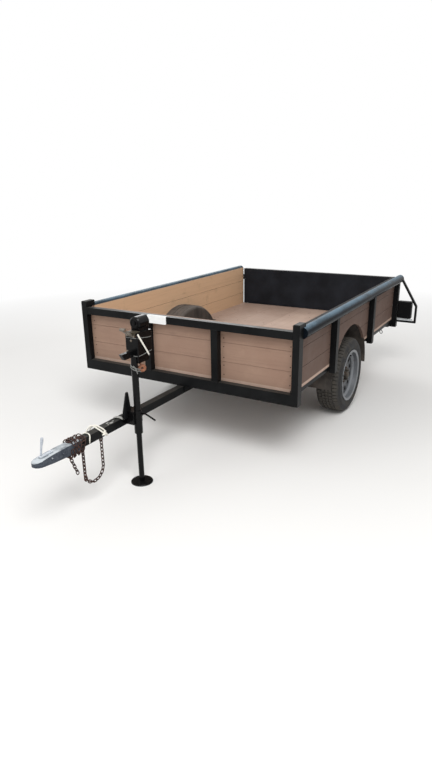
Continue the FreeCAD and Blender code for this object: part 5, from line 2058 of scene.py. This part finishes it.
@dataclass
class WellRidges:
    """Pressed ridges that run over each wheel box."""

    finishes: Finishes
    radius: float = 0.4185
    bar: float = 0.0042
    reach: float = 57.0
    rows: tuple[float, ...] = (0.662, 0.702, 0.786)
    steps: int = 40

    def ridge(self, side: Side, y: float) -> Piece:
        """Models one ridge, from the floor on one side of the wheel to the floor on the other.

        Args:
            side: The wheel box's side.
            y: The ridge's distance from the trailer's middle.

        Returns:
            The piece.
        """
        turns = [math.radians(self.reach * (2 * index / self.steps - 1))
                 for index in range(self.steps + 1)]
        path = [(AXLE_X + self.radius * math.sin(turn), side.value * y,
                 AXLE_Z + self.radius * math.cos(turn)) for turn in turns]
        return swept("ridge", path, self.bar)

    def build(self) -> None:
        """Models the ridges of both sides."""
        for side in Side:
            ridges = [self.ridge(side, y) for y in self.rows]
            piece = joined(ridges, f"well_ridges_{side.name.lower()}")
            dressed(piece, self.finishes.well, "frame", ROUND_EDGES)


@dataclass
class FrameTrim:
    """Weld beads, rear gussets and tie rings on the steel frame."""

    finishes: Finishes
    bead: float = 0.0026
    ripple: float = 0.006
    swell: float = 1.35
    sunk: float = 0.0005
    post_y: float = 0.274
    post_half: float = 0.025
    corner_y: float = 0.819
    corner_bead: float = 0.03
    gusset_rear: float = -1.830
    gusset_front: float = -1.600
    gusset_bottom: float = 0.442
    gusset_y: tuple[float, float] = (0.800, 0.823)
    gusset_slope: float = 0.130
    ring_x: float = -1.508
    ring_y: float = 0.815
    ring_radius: float = 0.016
    ring_bar: float = 0.0030
    ring_drop: float = 0.027
    staple_half: float = 0.009
    staple_bar: float = 0.0022

    def weld(self, start: Triple, end: Triple) -> Piece:
        """Models a weld bead in short ripples.

        Args:
            start: Where it starts.
            end: Where it ends.

        Returns:
            The piece.
        """
        first, last = Vector(start), Vector(end)
        count = max(4, int((last - first).length / self.ripple))
        path = [tuple(first.lerp(last, index / count)) for index in range(count + 1)]
        piece = swept("weld", path, self.bead, 6)
        run = (last - first).normalized()
        with editing(piece):
            for index in range(1, count, 2):
                middle = Vector(path[index])
                pick_points(piece, lambda point: abs((point - middle).dot(run)) < NEAR)
                stretch((self.swell, self.swell, self.swell), middle)
        return piece

    def welds(self) -> Piece:
        """Models the beads where the front posts and corner posts meet the rail and the sill.

        Returns:
            The piece.
        """
        face = FRONT_X - self.sunk
        spans = []
        for sign in (-1, 1):
            low, high = sign * (self.post_y - self.post_half), sign * (self.post_y + self.post_half)
            corner = sign * self.corner_y
            spans += [((face, low, z), (face, high, z)) for z in (FRAME_TOP, RAIL_BOTTOM)]
            spans += [((face, corner, z), (face, corner, z + self.corner_bead))
                      for z in (FRAME_TOP, RAIL_BOTTOM)]
        return joined([self.weld(start, end) for start, end in spans], "weld_beads")

    def gusset(self, side: Side) -> Piece:
        """Models the sloped plate under the side sill ahead of the tailgate.

        Args:
            side: The trailer's side.

        Returns:
            The piece.
        """
        inner, outer = sorted(side.value * y for y in self.gusset_y)
        piece = block("gusset", (self.gusset_rear, inner, self.gusset_bottom),
                      (self.gusset_front, outer, SILL_BOTTOM + 0.0008), 0.0015)
        middle_x = (self.gusset_rear + self.gusset_front) / 2
        middle_z = (self.gusset_bottom + SILL_BOTTOM) / 2
        with editing(piece):
            pick_points(piece, lambda point: point.x > middle_x and point.z < middle_z)
            shift(-self.gusset_slope, 0.0, 0.0)
        return piece

    def tie_ring(self, side: Side) -> Piece:
        """Models a ring in a staple under the side sill.

        Args:
            side: The trailer's side.

        Returns:
            The piece.
        """
        y = side.value * self.ring_y
        outline = ((-self.staple_half, 0.002), (-self.staple_half, -0.008), (0.0, -0.012),
                   (self.staple_half, -0.008), (self.staple_half, 0.002))
        staple = swept("staple", [(self.ring_x + x, y, SILL_BOTTOM + z) for x, z in outline],
                       self.staple_bar)
        ring = ringed("ring", (self.ring_x, y, SILL_BOTTOM - self.ring_drop), self.ring_radius,
                      self.ring_bar, (90.0, 0.0, 60.0))
        return joined([staple, ring], "tie_ring")

    def build(self) -> None:
        """Models the trim."""
        dressed(self.welds(), self.finishes.frame, "frame", ROUND_EDGES)
        gussets = joined([self.gusset(side) for side in Side], "rear_gussets")
        dressed(gussets, self.finishes.frame, "frame")
        rings = joined([self.tie_ring(side) for side in Side], "tie_rings")
        dressed(rings, self.finishes.frame, "frame", ROUND_EDGES)


@dataclass
class PlankScrews:
    """Screw heads in the wall planks beside the posts and in the floor boards."""

    finishes: Finishes
    head: float = 0.0036
    rise: float = 0.0010
    plank_shares: tuple[float, float] = (0.22, 0.78)
    front_ys: tuple[float, float] = (0.322, 0.796)
    front_top: float = 0.845
    side_top: float = 0.86
    beside_post: float = 0.018
    post_reach: tuple[float, float] = (0.435, 0.485)
    rear_post: float = 0.050
    front_post: float = 0.060
    well_reach: float = 0.425
    floor_xs: tuple[float, ...] = (0.23, -0.118, -1.038, -1.45)
    floor_ys: tuple[float, ...] = (-0.78, -0.70, -0.66, -0.44, -0.36, -0.16, -0.08, 0.13, 0.21,
                                   0.42, 0.49, 0.66, 0.78)

    def screw(self) -> Piece:
        """Models the pattern screw head, facing up at the origin, with a round drive.

        Returns:
            The piece.
        """
        bpy.ops.mesh.primitive_cylinder_add(vertices=12, radius=self.head, depth=2 * self.rise)
        piece = settle("screw")
        with editing(piece):
            pick_side(piece, Axis.Z, -1)
            bpy.ops.mesh.delete(type="FACE")
            pick_side(piece, Axis.Z)
            inset(self.head * 0.25)
            shift(0.0, 0.0, self.rise * 0.4)
            inset(self.head * 0.3)
            extrude(0.0, 0.0, -self.rise)
        return piece

    def heights(self) -> list[float]:
        """Finds how high the screws of a wall's planks are.

        Returns:
            Two heights in each plank.
        """
        edges = (FLOOR_TOP, *WALL_SEAMS, RAIL_TOP)
        return [low + share * (high - low) for low, high in zip(edges, edges[1:])
                for share in self.plank_shares]

    def beside_posts(self) -> list[tuple[float, float]]:
        """Finds where the side boards have screws, clear of the posts and the wheel's cut-out.

        Returns:
            Place along X and height of each screw, the same on both sides.
        """
        near, far = self.post_reach
        posts = ((AXLE_X + near, AXLE_X + far), (AXLE_X - far, AXLE_X - near),
                 (REAR_X, REAR_X + self.rear_post), (FRONT_X - self.front_post, FRONT_X))
        spots = [(x, z) for low, high in posts for z in self.heights()
                 for x in (low - self.beside_post, high + self.beside_post)]
        return [(x, z) for x, z in spots
                if REAR_X < x < FRONT_X and z <= self.side_top
                and math.hypot(x - AXLE_X, z - AXLE_Z) >= self.well_reach]

    def spots(self) -> list[tuple[Vector, Vector]]:
        """Lists every screw.

        Returns:
            Place and facing of each screw head.
        """
        signs = (-1, 1)
        front = [(Vector((PLANK_FACE_X, sign * y, min(z, self.front_top))), Vector((1, 0, 0)))
                 for z in self.heights() for y in self.front_ys for sign in signs]
        sides = [(Vector((x, sign * BOARD_OUTER, z)), Vector((0, sign, 0)))
                 for x, z in self.beside_posts() for sign in signs]
        floor = [(Vector((x, y, FLOOR_TOP)), Vector((0, 0, 1)))
                 for x in self.floor_xs for y in self.floor_ys]
        return front + sides + floor

    def build(self) -> None:
        """Copies the screw head to every place."""
        pattern = self.screw()
        heads = []
        for place, facing in self.spots():
            turn = facing.to_track_quat("Z", "X").to_matrix().to_4x4()
            turn.translation = place
            heads.append(copied(pattern, turn))
        removed(pattern)
        piece = joined(heads, "plank_screws")
        dressed(piece, self.finishes.under, "frame")


@dataclass(frozen=True)
class SoftLamp:
    """A soft square lamp, by its place, what it points at, its side and its power in watts."""

    name: str
    place: Triple
    target: Triple
    size: float
    watts: float

    def build(self) -> None:
        """Makes the lamp."""
        data = bpy.data.lights.new(self.name, "AREA")
        data.size = self.size
        data.energy = self.watts
        lamp = bpy.data.objects.new(self.name, data)
        bpy.context.scene.collection.objects.link(lamp)
        lamp.location = self.place
        aim = Vector(self.target) - Vector(self.place)
        lamp.rotation_mode = "QUATERNION"
        lamp.rotation_quaternion = aim.to_track_quat("-Z", "Y")


@dataclass
class Studio:
    """Pale floor, white surround, soft lamps and the camera at the photograph's place.

    The floor fades to white between two distances from the trailer. The camera's angles are in
    radians, and its focal length is in pixels of the photograph.
    """

    floor_size: float = 120.0
    fade: tuple[float, float] = (3.2, 6.5)
    sky: float = 0.60
    lamps: tuple[SoftLamp, ...] = (
        SoftLamp("key", (3.4, 2.6, 5.2), (-0.3, -0.2, 0.4), 3.2, 260.0),
        SoftLamp("fill", (5.4, -2.6, 3.4), (0.2, 0.0, 0.5), 3.0, 60.0),
        SoftLamp("back", (-4.6, -3.0, 3.6), (-0.4, 0.0, 0.6), 3.0, 90.0))
    camera_place: Triple = (3.5629, 2.0853, 1.7007)
    yaw: float = 0.5436
    pitch: float = 0.3355
    roll: float = -0.016
    focal_pixels: float = 554.1
    image_height: float = 768.0
    sensor: float = 36.0
    sight: float = 200.0

    def floor(self) -> None:
        """Makes the pale floor, which the camera sees turn white far from the trailer."""
        bpy.ops.mesh.primitive_plane_add(size=self.floor_size)
        floor = settle("studio_floor")
        nodes = Nodes("studio_floor")
        where = nodes.place()
        clouds = nodes.noise(where, 0.6, 3.0)
        nodes.surface(base_color=nodes.mix(clouds, colour(232, 231, 229), colour(236, 235, 233)),
                      roughness=0.9)
        away = nodes.add("ShaderNodeVectorMath")
        away.operation = "LENGTH"
        nodes.give(away.inputs[0], where)
        path = nodes.add("ShaderNodeLightPath")
        share = nodes.times(nodes.span(away.outputs["Value"], *self.fade),
                            path.outputs["Is Camera Ray"])
        white = nodes.add("ShaderNodeEmission")
        blend = nodes.add("ShaderNodeMixShader")
        nodes.give(blend.inputs[0], share)
        nodes.give(blend.inputs[1], nodes.shader.outputs["BSDF"])
        nodes.give(blend.inputs[2], white.outputs["Emission"])
        nodes.give(nodes.output.inputs["Surface"], blend.outputs["Shader"])
        floor.data.materials.append(nodes.material)

    def world(self) -> None:
        """Makes the surround: white to the camera, to glossy and to transmitted rays, else grey."""
        world = bpy.data.worlds.new("studio")
        bpy.context.scene.world = world
        world.use_nodes = True
        tree = world.node_tree
        shade = tree.nodes["Background"]
        path = tree.nodes.new("ShaderNodeLightPath")
        seen: Socket = path.outputs["Is Camera Ray"]
        for name in ("Is Glossy Ray", "Is Transmission Ray"):
            most = tree.nodes.new("ShaderNodeMath")
            most.operation = "MAXIMUM"
            tree.links.new(seen, most.inputs[0])
            tree.links.new(path.outputs[name], most.inputs[1])
            seen = most.outputs[0]
        strength = tree.nodes.new("ShaderNodeMapRange")
        strength.inputs["To Min"].default_value = self.sky
        strength.inputs["To Max"].default_value = 1.0
        tree.links.new(seen, strength.inputs["Value"])
        tree.links.new(strength.outputs["Result"], shade.inputs["Strength"])
        shade.inputs["Color"].default_value = (1.0, 1.0, 1.0, 1.0)

    def camera(self) -> None:
        """Makes the camera at the photograph's place and angle."""
        data = bpy.data.cameras.new("photo_camera")
        data.sensor_fit = "VERTICAL"
        data.sensor_height = self.sensor
        data.lens = self.sensor * self.focal_pixels / self.image_height
        data.clip_end = self.sight
        camera = bpy.data.objects.new("photo_camera", data)
        bpy.context.scene.collection.objects.link(camera)
        ahead = Vector((-math.cos(self.yaw) * math.cos(self.pitch),
                        -math.sin(self.yaw) * math.cos(self.pitch), -math.sin(self.pitch)))
        level = Vector((-math.sin(self.yaw), math.cos(self.yaw), 0.0))
        up = level.cross(ahead)
        right = math.cos(self.roll) * level + math.sin(self.roll) * up
        above = -math.sin(self.roll) * level + math.cos(self.roll) * up
        turn = Matrix((right, above, -ahead)).transposed().to_4x4()
        turn.translation = Vector(self.camera_place)
        camera.matrix_world = turn
        bpy.context.scene.camera = camera

    def build(self) -> None:
        """Makes the studio."""
        self.floor()
        self.world()
        for lamp in self.lamps:
            lamp.build()
        self.camera()
        bpy.context.scene.view_settings.view_transform = "Standard"


def main() -> None:
    """Dresses the solids, models every piece and makes the studio."""
    logging.basicConfig(level=logging.INFO, format="%(name)s: %(message)s")
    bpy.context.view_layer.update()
    finishes = Finishes()
    PaintedSolids(finishes).build()
    for side in Side:
        Tyre(side, finishes).build()
        WheelTrim(side, finishes).build()
    for maker in (Chains, Coupler, BeamTies, RailTag, JackTrim, WellRidges, FrameTrim,
                  PlankScrews):
        maker(finishes).build()
        log.info("%s done", maker.__name__)
    Studio().build()


if __name__ == "__main__":
    main()
